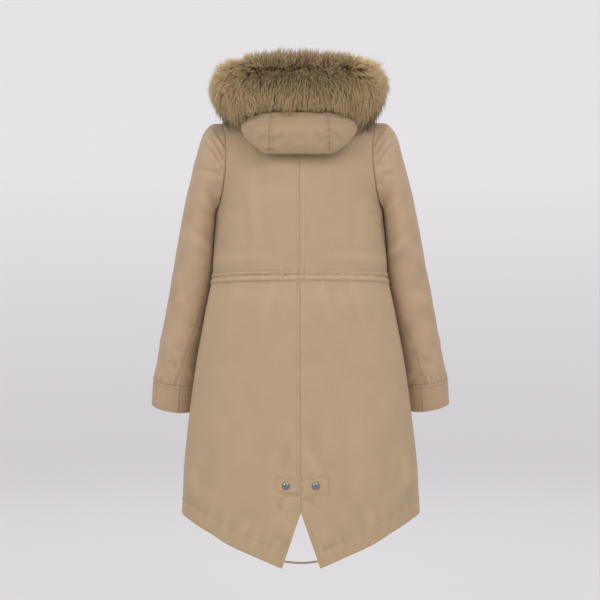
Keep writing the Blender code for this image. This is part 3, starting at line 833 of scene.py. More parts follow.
def new_material(name, roughness, **constants):
    """A material, its node tree and its shader, with the shader's constant values set."""
    made = bpy.data.materials.new(name)
    made.use_nodes = True
    shader = made.node_tree.nodes["Principled BSDF"]
    shader.inputs["Roughness"].default_value = roughness
    for title, value in constants.items():
        shader.inputs[title.replace("_", " ").title()].default_value = value
    return made, made.node_tree, shader


def use_bump(tree, shader, height, distance, strength):
    values = {"Height": height, "Distance": distance, "Strength": strength}
    tree.links.new(add_node(tree, "ShaderNodeBump", values).outputs[0], shader.inputs["Normal"])


# %% [markdown]
# ### Cotton twill
# Twill is woven so that its threads step sideways from row to row, and the steps read as fine diagonal
# ribs. Its threads are uneven in thickness, and the dye takes a little differently over a panel. Painted
# light makes the cloth paler on its ridges, and painted shade darkens its troughs, its sewn edges and the
# waist tunnel's fold. The pattern reads the cut's own UV map, so it follows every panel.

# %% Twill group
FLOAT, COLOUR = "NodeSocketFloat", "NodeSocketColor"
twill, twill_in, twill_out = new_tree(
    "cotton_twill",
    "ShaderNodeTree",
    [
        ("Colour", COLOUR, (0.45, 0.33, 0.205, 1)),
        ("Rib width", FLOAT, 0.0011),
        ("Blotches", FLOAT, 0.05),
        ("Ridge light and trough shade", FLOAT, 0.08),
    ],
    [("Colour", COLOUR), ("Roughness", FLOAT), ("Height", FLOAT)],
)
cut = coordinates(twill, "UV")
rib_scale = math_node(twill, "DIVIDE", 2 * math.pi / 10, twill_in["Rib width"])
ribs = add_node(
    twill,
    "ShaderNodeTexWave",
    {"Vector": cut, "Scale": rib_scale, "Distortion": 1.2, "Detail": 1.0},
    bands_direction="DIAGONAL",
).outputs["Fac"]
stretched = add_node(twill, "ShaderNodeMapping", {"Vector": cut, "Scale": (1.0, 0.06, 1.0)})
threads = noise(twill, stretched.outputs[0], 700.0, 2.0)
grain = noise(twill, cut, 420.0)
dye = noise(twill, coordinates(twill, "Object"), 6.0)


def swing(value, amount):
    """1 plus the amount times how far a 0 to 1 value is from its middle, twice over."""
    centred = scaled(twill, value, 2.0, -1.0)
    return math_node(twill, "ADD", math_node(twill, "MULTIPLY", centred, amount), 1.0)


shade = swing(dye, twill_in["Blotches"])
for value, amount in ((threads, 0.05), (grain, 0.07), (ribs, 0.03)):
    shade = math_node(twill, "MULTIPLY", shade, swing(value, amount))
# Painted light on ridges and painted shade in troughs, from how far the cloth stands above its neighbours.
ridge_light_and_shade = math_node(twill, "MULTIPLY", attribute(twill, "crest"), twill_in["Ridge light and trough shade"])
shade = math_node(twill, "MULTIPLY", shade, math_node(twill, "ADD", ridge_light_and_shade, 1.0))
# Painted shade along the sewn edges and in the waist tunnel's fold line.
shade = math_node(twill, "MULTIPLY", shade, scaled(twill, attribute(twill, "edge"), -0.16, 1.0))
height = math_node(twill, "ADD", math_node(twill, "ADD", ribs, threads), grain)
twill.links.new(tinted(twill, twill_in["Colour"], shade), twill_out["Colour"])
twill.links.new(scaled(twill, grain, 0.12, 0.82), twill_out["Roughness"])
twill.links.new(height, twill_out["Height"])
print("twill group:", len(twill.nodes), "nodes")


# %% Cloth materials
def twill_material(name, colour):
    made, tree, shader = new_material(name, 0.85, sheen_weight=0.12, sheen_roughness=0.5)
    cloth = add_node(tree, "ShaderNodeGroup", node_tree=twill)
    cloth.inputs["Colour"].default_value = (*colour, 1)
    tree.links.new(cloth.outputs["Colour"], shader.inputs["Base Color"])
    tree.links.new(cloth.outputs["Roughness"], shader.inputs["Roughness"])
    use_bump(tree, shader, cloth.outputs["Height"], 0.00025, 0.5)
    return made


# The body, sleeves and hood are one canvas. The sleeves' colour is painted a little lighter and warmer, as
# light, and the hood's darker, as the shade that the fur trim casts on it.
BODY_COLOUR = (0.462, 0.334, 0.202)
SLEEVE_LIT_COLOUR = (0.470, 0.333, 0.208)
HOOD_SHADED_COLOUR = (0.425, 0.305, 0.182)
canvas = twill_material("canvas", BODY_COLOUR)
sleeve_lit_canvas = twill_material("sleeve_lit_canvas", SLEEVE_LIT_COLOUR)
hood_shaded_canvas = twill_material("hood_shaded_canvas", HOOD_SHADED_COLOUR)
# The thread is the canvas darkened: painted shade of the grooves that its stitches pull into the cloth.
shaded_thread_colour = tuple(0.60 * part for part in BODY_COLOUR)

# %% [markdown]
# ### Fur, thread, cord and nickel
# A hair's colour runs along its length, so the fur reads `tip`, which is 0 at the root and 1 at the tip,
# and how dark each tuft is, which differs from tuft to tuft and is painted darkest, as shade, under each
# lobe. Sewing thread has a slight sheen, and its darker colour is painted shade. Nickel plate is smooth
# metal with a faint haze, and its dark colour is a painted reflection.

# %% Fur material
ROOT_COLOUR, MIDDLE_COLOUR, TIP_COLOUR = (0.36, 0.226, 0.086), (0.65, 0.445, 0.200), (1.00, 0.79, 0.47)
# The dark colour serves for darker fur over the top and for painted shade in the tufts under each lobe.
GUARD_AND_SHADE_COLOUR = (0.085, 0.050, 0.019)
fur_finish, tree, shader = new_material("fur_hair", 0.7, sheen_weight=0.08, sheen_roughness=0.4)
stops = (0.0, ROOT_COLOUR), (1.0, TIP_COLOUR), (0.5, MIDDLE_COLOUR)
hair = colour_ramp(tree, attribute(tree, "tip"), *stops)
lit = scaled(tree, noise(tree, coordinates(tree, "Object"), 160.0, 2.0), 0.5, 0.75)
# Mixed towards the dark colour by each tuft's darkness, which holds the painted shade under the lobes.
mixed = add_node(tree, "ShaderNodeMix", {"Factor": attribute(tree, "tone")}, data_type="RGBA")
tree.links.new(tinted(tree, hair, lit), mixed.inputs["A"])
mixed.inputs["B"].default_value = (*GUARD_AND_SHADE_COLOUR, 1)
tree.links.new(mixed.outputs["Result"], shader.inputs["Base Color"])
print("fur material:", len(tree.nodes), "nodes")


# %% Backing, thread and nickel
def mottled(name, dark, light, scale, roughness, bump, **constants):
    """A material that wavers between two colours, with a fine matching bump."""
    made, tree, shader = new_material(name, roughness, **constants)
    clouds = noise(tree, coordinates(tree, "Object"), scale)
    tree.links.new(colour_ramp(tree, clouds, (0.3, dark), (0.7, light)), shader.inputs["Base Color"])
    tree.links.new(scaled(tree, clouds, 0.1, roughness - 0.05), shader.inputs["Roughness"])
    use_bump(tree, shader, clouds, bump, 0.5)
    return made


backing = mottled("fur_backing", (0.20, 0.132, 0.058), (0.34, 0.230, 0.105), 140.0, 0.9, 0.001)
# Both thread colours carry that painted shade.
darker_shaded_thread = tuple(0.86 * part for part in shaded_thread_colour)
thread = mottled("thread", darker_shaded_thread, shaded_thread_colour, 900.0, 0.6, 0.0001, sheen_weight=0.1)
# The nickel is kept dark, a painted reflection of dark surroundings in its domes.
nickel = mottled("nickel", (0.21, 0.215, 0.23), (0.30, 0.305, 0.32), 260.0, 0.12, 0.00004, metallic=1.0)

# %% Braided cord material
braid_finish, tree, shader = new_material("braided_cord", 0.75, sheen_weight=0.15)
cut = coordinates(tree, "UV")
crossing = []
for slant in (1.0, -1.0):
    turned = add_node(tree, "ShaderNodeMapping", {"Vector": cut, "Scale": (8.0, slant * 900.0, 1.0)})
    values = {"Vector": turned.outputs[0], "Scale": 0.62}
    wave = add_node(tree, "ShaderNodeTexWave", values, bands_direction="DIAGONAL")
    crossing.append(wave.outputs["Fac"])
woven = math_node(tree, "MAXIMUM", crossing[0], crossing[1])
woven_colour = colour_ramp(tree, woven, (0.0, (0.13, 0.09, 0.055)), (1.0, (0.42, 0.31, 0.19)))
tree.links.new(woven_colour, shader.inputs["Base Color"])
use_bump(tree, shader, woven, 0.0005, 0.7)
print("materials:", [m.name for m in bpy.data.materials][-8:])

# %% [markdown]
# ## Back and front panels
# The back is two panels that meet in a felled seam at the centre and part below into two pointed tails.
# The cloth is drawn in at the waist, so it blouses a little above the tunnel and ruches on both sides of
# it. A patch is stitched in behind each press stud by the split, and its stitches show as a rectangle.

# %% Folds of the body
BODY_FOLDS = folds(
    BEHIND,
    # the upper back: soft upright folds and a faint dent by the centre seam
    (0.122, -0.15, 0.106, -0.372, 0.004, 0.01, -0.0008, 0.4, 0),
    (0.104, -0.19, 0.092, -0.36, -0.003, 0.012, 0.0007, 0.0, 0),
    (-0.128, -0.2, -0.112, -0.372, -0.004, 0.012, -0.0007, 0.4, 0),
    (-0.016, -0.262, -0.026, -0.33, 0.002, 0.009, -0.0011, 0.3, 0),
    (0.168, -0.235, 0.12, -0.262, 0.006, 0.011, 0.0007, 0.5, 1),
    (-0.168, -0.228, -0.126, -0.25, -0.006, 0.011, 0.0006, 0.5, 1),
    (0.188, -0.28, 0.15, -0.352, 0.006, 0.014, -0.0012, 0.3, 0),
    (-0.19, -0.29, -0.158, -0.356, -0.006, 0.013, -0.0011, 0.3, 0),
    # above the waist tunnel the cloth blouses, and its lower side falls back
    (0.195, -0.356, 0.02, -0.354, -0.006, 0.015, 0.0022, 0.0, 1),
    (-0.195, -0.358, -0.02, -0.354, 0.006, 0.015, 0.0022, 0.0, 1),
    # the skirt: long soft swags below the tunnel, and diagonals towards the split
    (0.06, -0.415, 0.075, -0.52, 0.004, 0.012, 0.0007, 0.2, 1),
    (-0.044, -0.414, -0.06, -0.5, -0.004, 0.011, 0.0008, -0.2, 1),
    (-0.128, -0.416, -0.15, -0.56, -0.006, 0.015, 0.0008, 0.2, 1),
    (0.15, -0.418, 0.168, -0.59, 0.006, 0.015, 0.0007, -0.2, 1),
    (-0.004, -0.772, -0.05, -0.862, -0.006, 0.012, 0.003, 0.5, 0),
    (0.012, -0.76, 0.04, -0.85, 0.004, 0.014, -0.0018, 0.4, 0),
    (0.245, -0.8, 0.236, -0.925, 0.004, 0.015, 0.004, 0.2, 0),
    (-0.246, -0.79, -0.238, -0.915, -0.004, 0.015, 0.004, 0.2, 0),
    (0.2, -0.7, 0.192, -0.96, 0.006, 0.026, -0.0016, 0.2, 0),
    (-0.196, -0.69, -0.19, -0.95, -0.006, 0.026, -0.0016, 0.2, 0),
    (0.12, -0.64, 0.112, -0.93, 0.006, 0.032, 0.0013, 0.0, 0),
    (-0.118, -0.6, -0.126, -0.94, -0.004, 0.032, 0.0012, 0.0, 0),
    # round the split: a curled dent below a press stud, and a crease on each tail
    (0.009, -0.89, 0.052, -0.904, 0.005, 0.0052, -0.0026, 0.4, 1),
    (0.053, -0.898, 0.05, -0.93, -0.006, 0.0055, -0.0026, 0.2, 1),
    (0.018, -0.906, 0.044, -0.912, 0.003, 0.008, 0.0016, 0.2, 0),
    (-0.01, -0.896, -0.046, -0.914, -0.005, 0.0055, -0.0026, 0.3, 1),
    (0.032, -1.014, 0.072, -0.972, 0.006, 0.006, -0.0046, 0.5, 1),
    (-0.052, -1.01, -0.094, -0.996, -0.003, 0.0045, -0.0034, 0.5, 1),
    (0.15, -0.985, 0.118, -0.94, 0.004, 0.009, 0.0018, 0.3, 0),
    (-0.17, -0.975, -0.136, -0.92, 0.004, 0.009, 0.0018, 0.3, 0),
)
BODY_FOLDS += folds(
    AHEAD,  # the same kinds of folds, on either side of the flap
    (0.15, -0.11, 0.07, -0.215, 0.006, 0.013, 0.0024, 0.5, 1),
    (-0.148, -0.12, -0.078, -0.205, -0.006, 0.013, 0.0022, 0.5, 1),
    (0.165, -0.245, 0.098, -0.3, 0.008, 0.012, -0.0024, 0.4, 1),
    (-0.165, -0.24, -0.104, -0.285, -0.008, 0.012, -0.0024, 0.4, 1),
    (0.192, -0.352, 0.036, -0.35, -0.006, 0.017, 0.003, 0.0, 1),
    (-0.192, -0.353, -0.04, -0.35, 0.006, 0.017, 0.003, 0.0, 1),
    (0.07, -0.414, 0.086, -0.56, 0.005, 0.014, 0.0022, 0.2, 1),
    (-0.082, -0.414, -0.094, -0.54, -0.005, 0.014, 0.0022, -0.2, 1),
    (0.15, -0.416, 0.172, -0.62, 0.006, 0.018, 0.002, 0.2, 1),
    (-0.146, -0.416, -0.166, -0.6, -0.006, 0.018, 0.002, 0.2, 1),
    (0.14, -0.62, 0.15, -0.9, 0.006, 0.03, 0.003, 0.2, 0),
    (-0.132, -0.64, -0.15, -0.91, -0.006, 0.03, 0.0028, 0.2, 0),
    (0.075, -0.7, 0.08, -0.9, 0.004, 0.02, -0.002, 0.2, 0),
    (-0.086, -0.69, -0.088, -0.9, -0.004, 0.02, -0.0022, 0.2, 0),
)
BODY_FOLDS += folds(
    BESIDE,  # under the arms
    (0.03, -0.262, 0.012, -0.34, 0.004, 0.013, -0.0024, 0.3, 1),
    (-0.034, -0.268, -0.02, -0.35, 0.004, 0.013, -0.0024, 0.3, 1),
    (0.03, -0.42, 0.044, -0.64, 0.008, 0.02, 0.0026, 0.2, 1),
    (-0.036, -0.42, -0.05, -0.6, 0.008, 0.02, 0.0026, 0.2, 1),
)
print("folds on the body:", len(BODY_FOLDS))

# %% Relief of a torso panel
PANEL_WIDTH = 0.33  # across half the back or front, along the cloth
SKIRT_LENGTH = 0.6  # from the hem tunnel to the waist tunnel
WAIST_MIDDLE = (WAIST_HIGH + WAIST_LOW) / 2
SEAM_ROLL, ROLL_WIDTH = 0.0005, 0.0013  # how far an edge turns in at its seam
FELL_WIDTH, FELL_LIFT = 0.0075, 0.0005  # the allowance stitched down beside the centre seam
FELL_ROW = 0.0066  # from that seam to the groove of its far row of stitches
TRUNK = np.array([0.0, 0.0, -0.4])
# from the centre line to the stitched patch behind a press stud, across it, and above and below the stud
STUD_BOX = {LEFT: (0.0045, 0.0540, 0.0170, 0.0150), RIGHT: (0.0035, 0.0620, 0.0180, 0.0190)}
GROOVE, GROOVE_WIDTH = 0.00045, 0.0011  # how deep and wide a row of stitches pulls the cloth in


def grooves(distance, *rows):
    """How far rows of stitches at those distances from a seam pull the cloth in."""
    return -GROOVE * sum(bell(distance - row, GROOVE_WIDTH) for row in rows)


def waist_level(across):
    return WAIST_MIDDLE - WAIST_DROP * across**2


def ruche(arc, away, seed):
    """The cloth gathered on the waist cord: fine and high near the centre, slack towards the sides."""
    tight = bell(arc, 0.055)
    fine = ripple(arc, seed, 0.0085, 0.0118, 0.0160) * (0.25 + 0.75 * tight)
    slack = ripple(arc, seed + 1, 0.0230, 0.0340)
    reach = 0.010 + 0.012 * tight
    return (0.0007 * fine + 0.0003 * slack) * bell(away, reach)


STUD_UP = height_at(BACK, VENT_STUD[1])
STUD_LEVEL = float(torso(BACK, LEFT, across_at(BACK, VENT_STUD[0], STUD_UP), STUD_UP)[0, 2])
print("press stud by the split at z", round(STUD_LEVEL, 4))


def patch_grooves(hand, place):
    """The stitched rectangle that holds a patch behind each press stud."""
    inner, outer, above, below = STUD_BOX[hand]
    x, z = hand * place[..., 0], place[..., 2] - STUD_LEVEL
    beside = np.abs(x - (inner + outer) / 2) - (outer - inner) / 2
    out_by = np.maximum(beside, np.maximum(z - above, -below - z))
    return -0.0008 * bell(out_by, 0.0021) + 0.0004 * smooth(0.001, -0.001, out_by)


def panel_edge(side, across, up):
    """How near a sewn edge of a torso panel is, 1 at the edge itself."""
    near = bell((1 - across) * PANEL_WIDTH, ROLL_WIDTH)
    sewn = smooth(APEX - 0.002, APEX + 0.004, up) if side == BACK else 1.0
    near = np.maximum(near, 0.55 * sewn * bell(across * PANEL_WIDTH, ROLL_WIDTH))
    top = (5 - up) * 0.2
    return np.maximum(near, bell(top, ROLL_WIDTH))


def panel_relief(side, hand):
    seed = 20 + 4 * side + hand

    def relief(across, up, place, out):
        arc = hand * across * PANEL_WIDTH
        away = place[..., 2] - waist_level(across)
        height = fold_relief(BODY_FOLDS, place, out)
        height += 0.0010 * soft_noise(place, (0.11, 0.2, 0.19))
        height += 0.0004 * soft_noise(place, (0.030, 0.06, 0.040), 5.3)
        height += ruche(arc, away, 60 + side)
        height -= 0.0012 * bell(away, 0.022)
        beside = across * PANEL_WIDTH
        pucker = ripple(place[..., 2], seed, 0.011, 0.017, 0.026)
        height += 0.00028 * pucker * np.exp(-beside / 0.011)
        tail = ripple(arc, seed + 9, 0.013, 0.021, 0.034)
        rise = np.where(up < 1, (up - 1) * HEM_BAND, (up - 1) * SKIRT_LENGTH)
        height += 0.0004 * tail * bell(rise, 0.016)
        closed = smooth(APEX, APEX + 0.02, up)
        if side == BACK and hand == LEFT:
            height += FELL_LIFT * smooth(FELL_WIDTH + 0.001, FELL_WIDTH, beside) * closed
        if side == BACK:
            height += patch_grooves(hand, place)
            height += 1.3 * grooves(beside, FELL_ROW) * closed * (hand == LEFT)
        height = height + 0.0006 * smooth(1.0, 0.94, up) - 0.0004 * bell(up - 1, 0.05)
        return height - SEAM_ROLL * panel_edge(side, across, up)

    return relief


# %% Four panels
APEX = 1 + (VENT_TOP - TAIL_Z - HEM_BAND) / (WAIST_LOW - TAIL_Z - HEM_BAND)
CLOSE = 0.0002  # the share of a panel left off at a seam, so that the cloth meets
PANEL_COLUMNS = {BACK: 66, FRONT: 44}
PANEL_TOP = 4.9985  # just short of the neckline's own row, so that the cloth there has an outward direction
at_split = (APEX, 0.01, 0.005), (1.235, 0.055, 0.0045)  # the split's top and the press studs by it
PANEL_ROWS = {
    BACK: graded(0.0, PANEL_TOP, 130, (1.0, 0.10, 0.02), *at_split, (2.5, 1.0, 0.045)),
    FRONT: graded(0.0, PANEL_TOP, 92, (1.0, 0.09, 0.03), (2.5, 0.9, 0.06)),
}


def torso_panel(side, hand):
    return lambda across, up: torso(side, hand, across, up)


for side in (BACK, FRONT):
    fine = ((CLOSE, 0.009, 0.003), (FELL_WIDTH / PANEL_WIDTH, 0.006, 0.003), (1 - CLOSE, 0.009, 0.003))
    if side == BACK:
        fine += ((0.095, 0.085, 0.0075),)  # round the press studs
    columns = graded(CLOSE, 1 - CLOSE, PANEL_COLUMNS[side], *fine)
    layers = np.where(PANEL_ROWS[side] <= 1, CLOTH + TRIM, CLOTH)
    for hand in (LEFT, RIGHT):
        name = f"{SIDE_NAMES[side]}_{HAND_NAMES[hand]}"
        skin = skin_of(torso_panel(side, hand), panel_relief(side, hand), TRUNK)
        edge = lambda across, up, side=side: panel_edge(side, across, up)
        lay(name, skin, columns, PANEL_ROWS[side], layers, edge, canvas)

# %% [markdown]
# ## Waist tunnel
# A strip of the same cloth is stitched along both its edges to make a tunnel for the waist cord. The cord
# draws it up, so it is the most ruched piece of the coat, with a fold line that wanders along its middle.

# %% Waist tunnel
SNUG = 0.0004  # how far the tunnel's stitched edges lie off the panel
VALLEY, RIDGE = 0.57, 0.27  # the fold line and the ridge below it, from the tunnel's lower edge


def tunnel_relief(columns_to_arc):
    def relief(across, up, place, out):
        arc = columns_to_arc(across)
        share = up - 2
        away = place[..., 2] - waist_level(np.abs(across))
        height = SNUG + ruche(arc, away, 61 if out[..., 1].mean() > 0 else 59)
        tight = 0.3 + 0.7 * bell(arc, 0.05)
        puff = np.clip(4 * share * (1 - share), 0, 1) ** 0.6
        wave = ripple(arc, 77, 0.0078, 0.0115, 0.0165)
        height += puff * (0.0002 + 0.0004 * tight * wave)
        wander = 0.05 * ripple(arc, 78, 0.060, 0.024)
        height -= 0.0024 * bell(share - VALLEY - wander, 0.085)
        return height + 0.0009 * bell(share - RIDGE - wander, 0.15)

    return relief


def whole_back(across, up):
    return torso(BACK, LEFT, np.abs(across), up) * points(hand_of(across), 1, 1)


def strip_edge(across, up):
    # Painted shade, darkest along the tunnel's fold line and slight at its two stitched edges.
    fold = 1.7 * bell(up - 2 - VALLEY, 0.08)
    return fold + 0.5 * bell(up - 2, 0.05) + 0.5 * bell(3 - up, 0.05)


tunnel_rows = np.linspace(2.0, 3.0, 17)
tunnel_columns = graded(SEAM - 1, 1 - SEAM, 150, (0.0, 0.22, 0.0055))
skin = skin_of(whole_back, tunnel_relief(lambda a: a * PANEL_WIDTH), TRUNK)
lay("waist_tunnel_back", skin, tunnel_columns, tunnel_rows, TRIM, strip_edge, canvas)
for hand in (LEFT, RIGHT):
    reach = PLACKET[1] if hand == LEFT else -PLACKET[0]
    start = float(across_at(FRONT, reach + 2 * GAP, 2.5))
    arcs = lambda a, hand=hand: hand * a * PANEL_WIDTH
    skin = skin_of(torso_panel(FRONT, hand), tunnel_relief(arcs), TRUNK)
    columns = np.linspace(start, 1 - SEAM, 90)
    lay(f"waist_tunnel_front_{HAND_NAMES[hand]}", skin, columns, tunnel_rows, TRIM, strip_edge, canvas)

# %% [markdown]
# ## Front flap
# A storm flap covers the front opening and closes with press studs. It is a long doubled strip, a little
# pulled in at each stud and drawn flat by the stitches round its edge.


# %% Front flap
def whole_front(x, up):
    """Both fronts as one surface, measured by x."""
    return torso(FRONT, LEFT, across_at(FRONT, np.abs(x), up), up) * points(hand_of(x), 1, 1)


def flap_relief(across, up, place, out):
    height = FLAP_LIFT + CLOTH + 0.0008 + 0.0005 * soft_noise(place, (0.03, 0.05, 0.06), 2.1)
    for row in FRONT_STUD_ROWS:
        stud_z = float(whole_front(np.zeros(1), np.array([row]))[0, 2])
        far = np.hypot(place[..., 0], place[..., 2] - stud_z)
        height -= 0.0009 * bell(far, 0.014)
    rim = np.minimum(across - PLACKET[0], PLACKET[1] - across)
    height -= 0.0005 * bell(rim - 0.006, 0.0016)
    return height + 0.0004 * ripple(place[..., 2], 31, 0.04, 0.07, 0.11)


def flap_edge(across, up):
    rim = np.minimum(across - PLACKET[0], PLACKET[1] - across)
    # Painted shade along the flap's two long edges.
    return 0.6 * bell(rim, 0.0012)


skin = skin_of(whole_front, flap_relief, TRUNK)
flap_rows = graded(FLAP_HEM, FLAP_TOP, 90, (4.5, 0.45, 0.04))
lay("front_flap", skin, np.linspace(*PLACKET, 19), flap_rows, CLOTH, flap_edge, canvas)

# %% [markdown]
# ## Sleeves and cuffs
# Each sleeve is an upper and an under piece, joined down the back and the front of the arm. Its head holds
# more cloth than the armhole, so short folds fan from the seam, and the bent arm leaves creases in the
# crook and above the cuff. The two sleeves are alike, but no crease is the same twice.

# %% Folds of the sleeves
SLEEVE_FOLDS = folds(
    BEHIND,
    # the sleeve heads, fanning from the armhole
    (0.178, -0.12, 0.219, -0.06, 0.004, 0.0042, -0.0034, 0.6, 1),
    (0.175, -0.094, 0.21, -0.048, 0.004, 0.004, -0.0032, 0.6, 1),
    (0.18, -0.14, 0.228, -0.08, 0.004, 0.0044, -0.003, 0.6, 1),
    (0.184, -0.157, 0.246, -0.146, 0.002, 0.0044, -0.003, 0.5, 0),
    (0.18, -0.176, 0.214, -0.16, 0.002, 0.0046, 0.0022, 0.3, 1),
    (0.184, -0.252, 0.244, -0.188, -0.004, 0.012, 0.0016, 0.4, 1),
    (0.186, -0.272, 0.232, -0.226, -0.004, 0.011, -0.001, 0.4, 1),
    (-0.178, -0.118, -0.217, -0.062, -0.004, 0.0042, -0.0034, -0.6, 1),
    (-0.175, -0.094, -0.208, -0.05, -0.004, 0.004, -0.003, -0.6, 1),
    (-0.18, -0.138, -0.226, -0.084, -0.004, 0.0044, -0.0028, -0.6, 1),
    (-0.184, -0.164, -0.236, -0.156, -0.002, 0.0044, -0.0028, -0.5, 0),
    (-0.184, -0.262, -0.242, -0.2, 0.004, 0.012, 0.0016, -0.4, 1),
    # down the arms
    (0.216, -0.33, 0.262, -0.3, 0.003, 0.01, 0.002, 0.4, 1),
    (-0.214, -0.345, -0.258, -0.308, -0.003, 0.01, 0.0018, -0.4, 1),
    (0.246, -0.519, 0.266, -0.506, 0.002, 0.006, -0.0024, 0.4, 1),
    (0.292, -0.606, 0.322, -0.594, 0.003, 0.0065, -0.0026, 0.4, 1),
    (0.258, -0.64, 0.272, -0.616, 0.003, 0.006, 0.0024, 0.3, 1),
    (0.266, -0.455, 0.298, -0.44, 0.003, 0.011, 0.0016, 0.3, 0),
    (-0.25, -0.532, -0.272, -0.515, -0.002, 0.0065, -0.0022, -0.4, 1),
    (-0.288, -0.588, -0.32, -0.598, -0.003, 0.0068, -0.0024, 0.4, 1),
    (-0.262, -0.642, -0.278, -0.612, -0.003, 0.006, 0.0022, -0.3, 1),
    (-0.268, -0.43, -0.3, -0.452, -0.003, 0.011, 0.0015, 0.3, 0),
)
SLEEVE_FOLDS += folds(
    AHEAD,  # the sleeve heads and the crook of the arms
    (0.178, -0.11, 0.222, -0.08, 0.003, 0.0062, 0.0024, 0.3, 1),
    (0.18, -0.148, 0.236, -0.14, 0.003, 0.007, -0.0026, 0.3, 1),
    (-0.178, -0.104, -0.22, -0.078, -0.003, 0.0062, 0.0024, 0.3, 1),
    (-0.18, -0.15, -0.234, -0.146, -0.003, 0.007, -0.0026, 0.3, 1),
    (0.212, -0.35, 0.284, -0.372, 0.008, 0.0085, -0.004, 0.4, 1),
    (0.214, -0.372, 0.29, -0.402, 0.007, 0.009, 0.0036, 0.2, 1),
    (0.22, -0.404, 0.3, -0.424, 0.006, 0.0085, -0.0036, 0.3, 1),
    (-0.212, -0.342, -0.282, -0.38, -0.008, 0.0085, -0.004, -0.4, 1),
    (-0.214, -0.378, -0.3, -0.398, -0.007, 0.009, 0.0034, 0.2, 1),
    (-0.222, -0.412, -0.29, -0.42, -0.006, 0.008, -0.003, 0.3, 1),
    (0.262, -0.61, 0.33, -0.598, 0.004, 0.0075, -0.0026, 0.3, 1),
    (-0.262, -0.6, -0.326, -0.606, -0.004, 0.0075, -0.0026, 0.3, 1),
)
SLEEVE_FOLDS += folds(
    BESIDE,  # the outside of the arms
    (-0.03, -0.11, 0.028, -0.124, 0.005, 0.01, -0.002, 0.3, 0),
    (-0.06, -0.372, -0.01, -0.388, 0.004, 0.011, -0.0012, 0.3, 1),
    (-0.1, -0.56, -0.04, -0.548, 0.006, 0.012, 0.0024, 0.3, 0),
    (-0.112, -0.606, -0.052, -0.6, 0.004, 0.0085, -0.0024, 0.3, 0),
)
print("folds on the sleeves:", len(SLEEVE_FOLDS))

# %% Relief of a sleeve
RING_LENGTH = 0.052
UPPER_WIDTH, UNDER_WIDTH = 0.34, 0.10
INSIDE_PRESS = 0.0022


def sleeve_edge(across, ring, width):
    beside = np.minimum(across, 1 - across) * width
    near = bell(beside, ROLL_WIDTH)
    head = bell(ring * RING_LENGTH, 0.0022)
    wrist = bell((CUFF_RING - ring) * RING_LENGTH, ROLL_WIDTH)
    return np.maximum(near, np.maximum(head, wrist))


NEAR, FAR = 0.0016, 0.0072  # from a seam to the two rows of stitches that hold it down


def snug_inside(hand, ring, place):
    """The sleeve and the body's side press on each other below the armpit."""
    inward = smooth(0.018, -0.002, np.abs(place[..., 0]) - read(SLEEVE, "inner_x", ring))
    return INSIDE_PRESS * inward * smooth(0.1, 1.2, ring) * smooth(8.5, 7.0, ring)


def sleeve_relief(hand, width, seed):
    def relief(across, ring, place, out):
        height = 1.3 * fold_relief(SLEEVE_FOLDS, place, out) + snug_inside(hand, ring, place)
        behind = smooth(0.0, 0.5, out[..., 1]) * smooth(-0.050, -0.085, place[..., 2])
        height -= 0.0022 * behind * bell(ring * RING_LENGTH, 0.006)
        if width == UPPER_WIDTH:
            height += 1.9 * grooves((1 - across) * width, NEAR, FAR)
        ramp = smooth(0.0, 0.5, ring)
        height += ramp * 0.0012 * soft_noise(place, (0.05, 0.07, 0.045), 3.7 + hand)
        height += ramp * 0.0005 * soft_noise(place, 0.022, 8.1 + hand)
        beside = np.minimum(across, 1 - across) * width
        pucker = ripple(ring * RING_LENGTH, seed, 0.010, 0.015, 0.024)
        height += ramp * 0.0004 * pucker * np.exp(-beside / 0.010)
        gathers = ripple(across * width, seed + 3, 0.016, 0.024, 0.037)
        height += 0.0009 * gathers * bell(ring - 0.32, 0.30)
        wrist = ripple(across * width, seed + 5, 0.014, 0.022, 0.036)
        height += 0.0008 * wrist * bell(CUFF_RING - 0.25 - ring, 0.3)
        return height - SEAM_ROLL * sleeve_edge(across, ring, width)

    return relief


# %% Sleeve pieces
def sleeve_surface(hand, part):
    """The upper piece runs over the arm from the front seam to the back one, the under piece the rest."""

    def surface(across, ring):
        back = read(SLEEVE, "back_seam", ring)
        start, end = (FRONT_SEAM, back) if part == "upper" else (back, 360 + FRONT_SEAM)
        return sleeve(hand, start + (end - start) * across, ring)

    return surface


SLEEVE_END = CUFF_RING - 0.003
sleeve_rings = graded(0.0, SLEEVE_END, 92, (0.0, 0.24, 0.04), (0.65, 0.45, 0.06), (CUFF_RING, 0.10, 0.03))
for hand in (LEFT, RIGHT):
    arm = np.array([0.265 * hand, -0.02, -0.38])
    for part, width, count in (("upper", UPPER_WIDTH, 64), ("under", UNDER_WIDTH, 18)):
        skin = skin_of(sleeve_surface(hand, part), sleeve_relief(hand, width, 40 + hand), arm)
        fine = 0.0015 / width
        head = [(0.80, 0.17, 0.009)] if part == "upper" else []
        columns = graded(CLOSE, 1 - CLOSE, count, (0.0, 6 * fine, fine), (1.0, 6 * fine, fine), *head)
        edge = lambda across, ring, width=width: sleeve_edge(across, ring, width)
        lay(f"{part}_sleeve_{HAND_NAMES[hand]}", skin, columns, sleeve_rings, CLOTH, edge, sleeve_lit_canvas)

# %% [markdown]
# ### Cuffs
# A cuff is a straight doubled band, closed by a seam at the back of the wrist. It is stiffer than the
# sleeve, so it keeps its round and only dimples at its stitching.

# %% Cuffs
CUFF_ROUND = 0.31
CUFF_STEP = 0.034  # along the cloth from one of its rings to the next


def cuff_edge(across, ring):
    beside = np.minimum(across, 1 - across) * CUFF_ROUND
    top = (ring - CUFF_RING) * CUFF_STEP
    near = np.maximum(bell(beside, 0.0012), bell(top, ROLL_WIDTH))
    return np.maximum(near, 0.5 * bell((LAST_RING - ring) * CUFF_STEP, 0.0012))


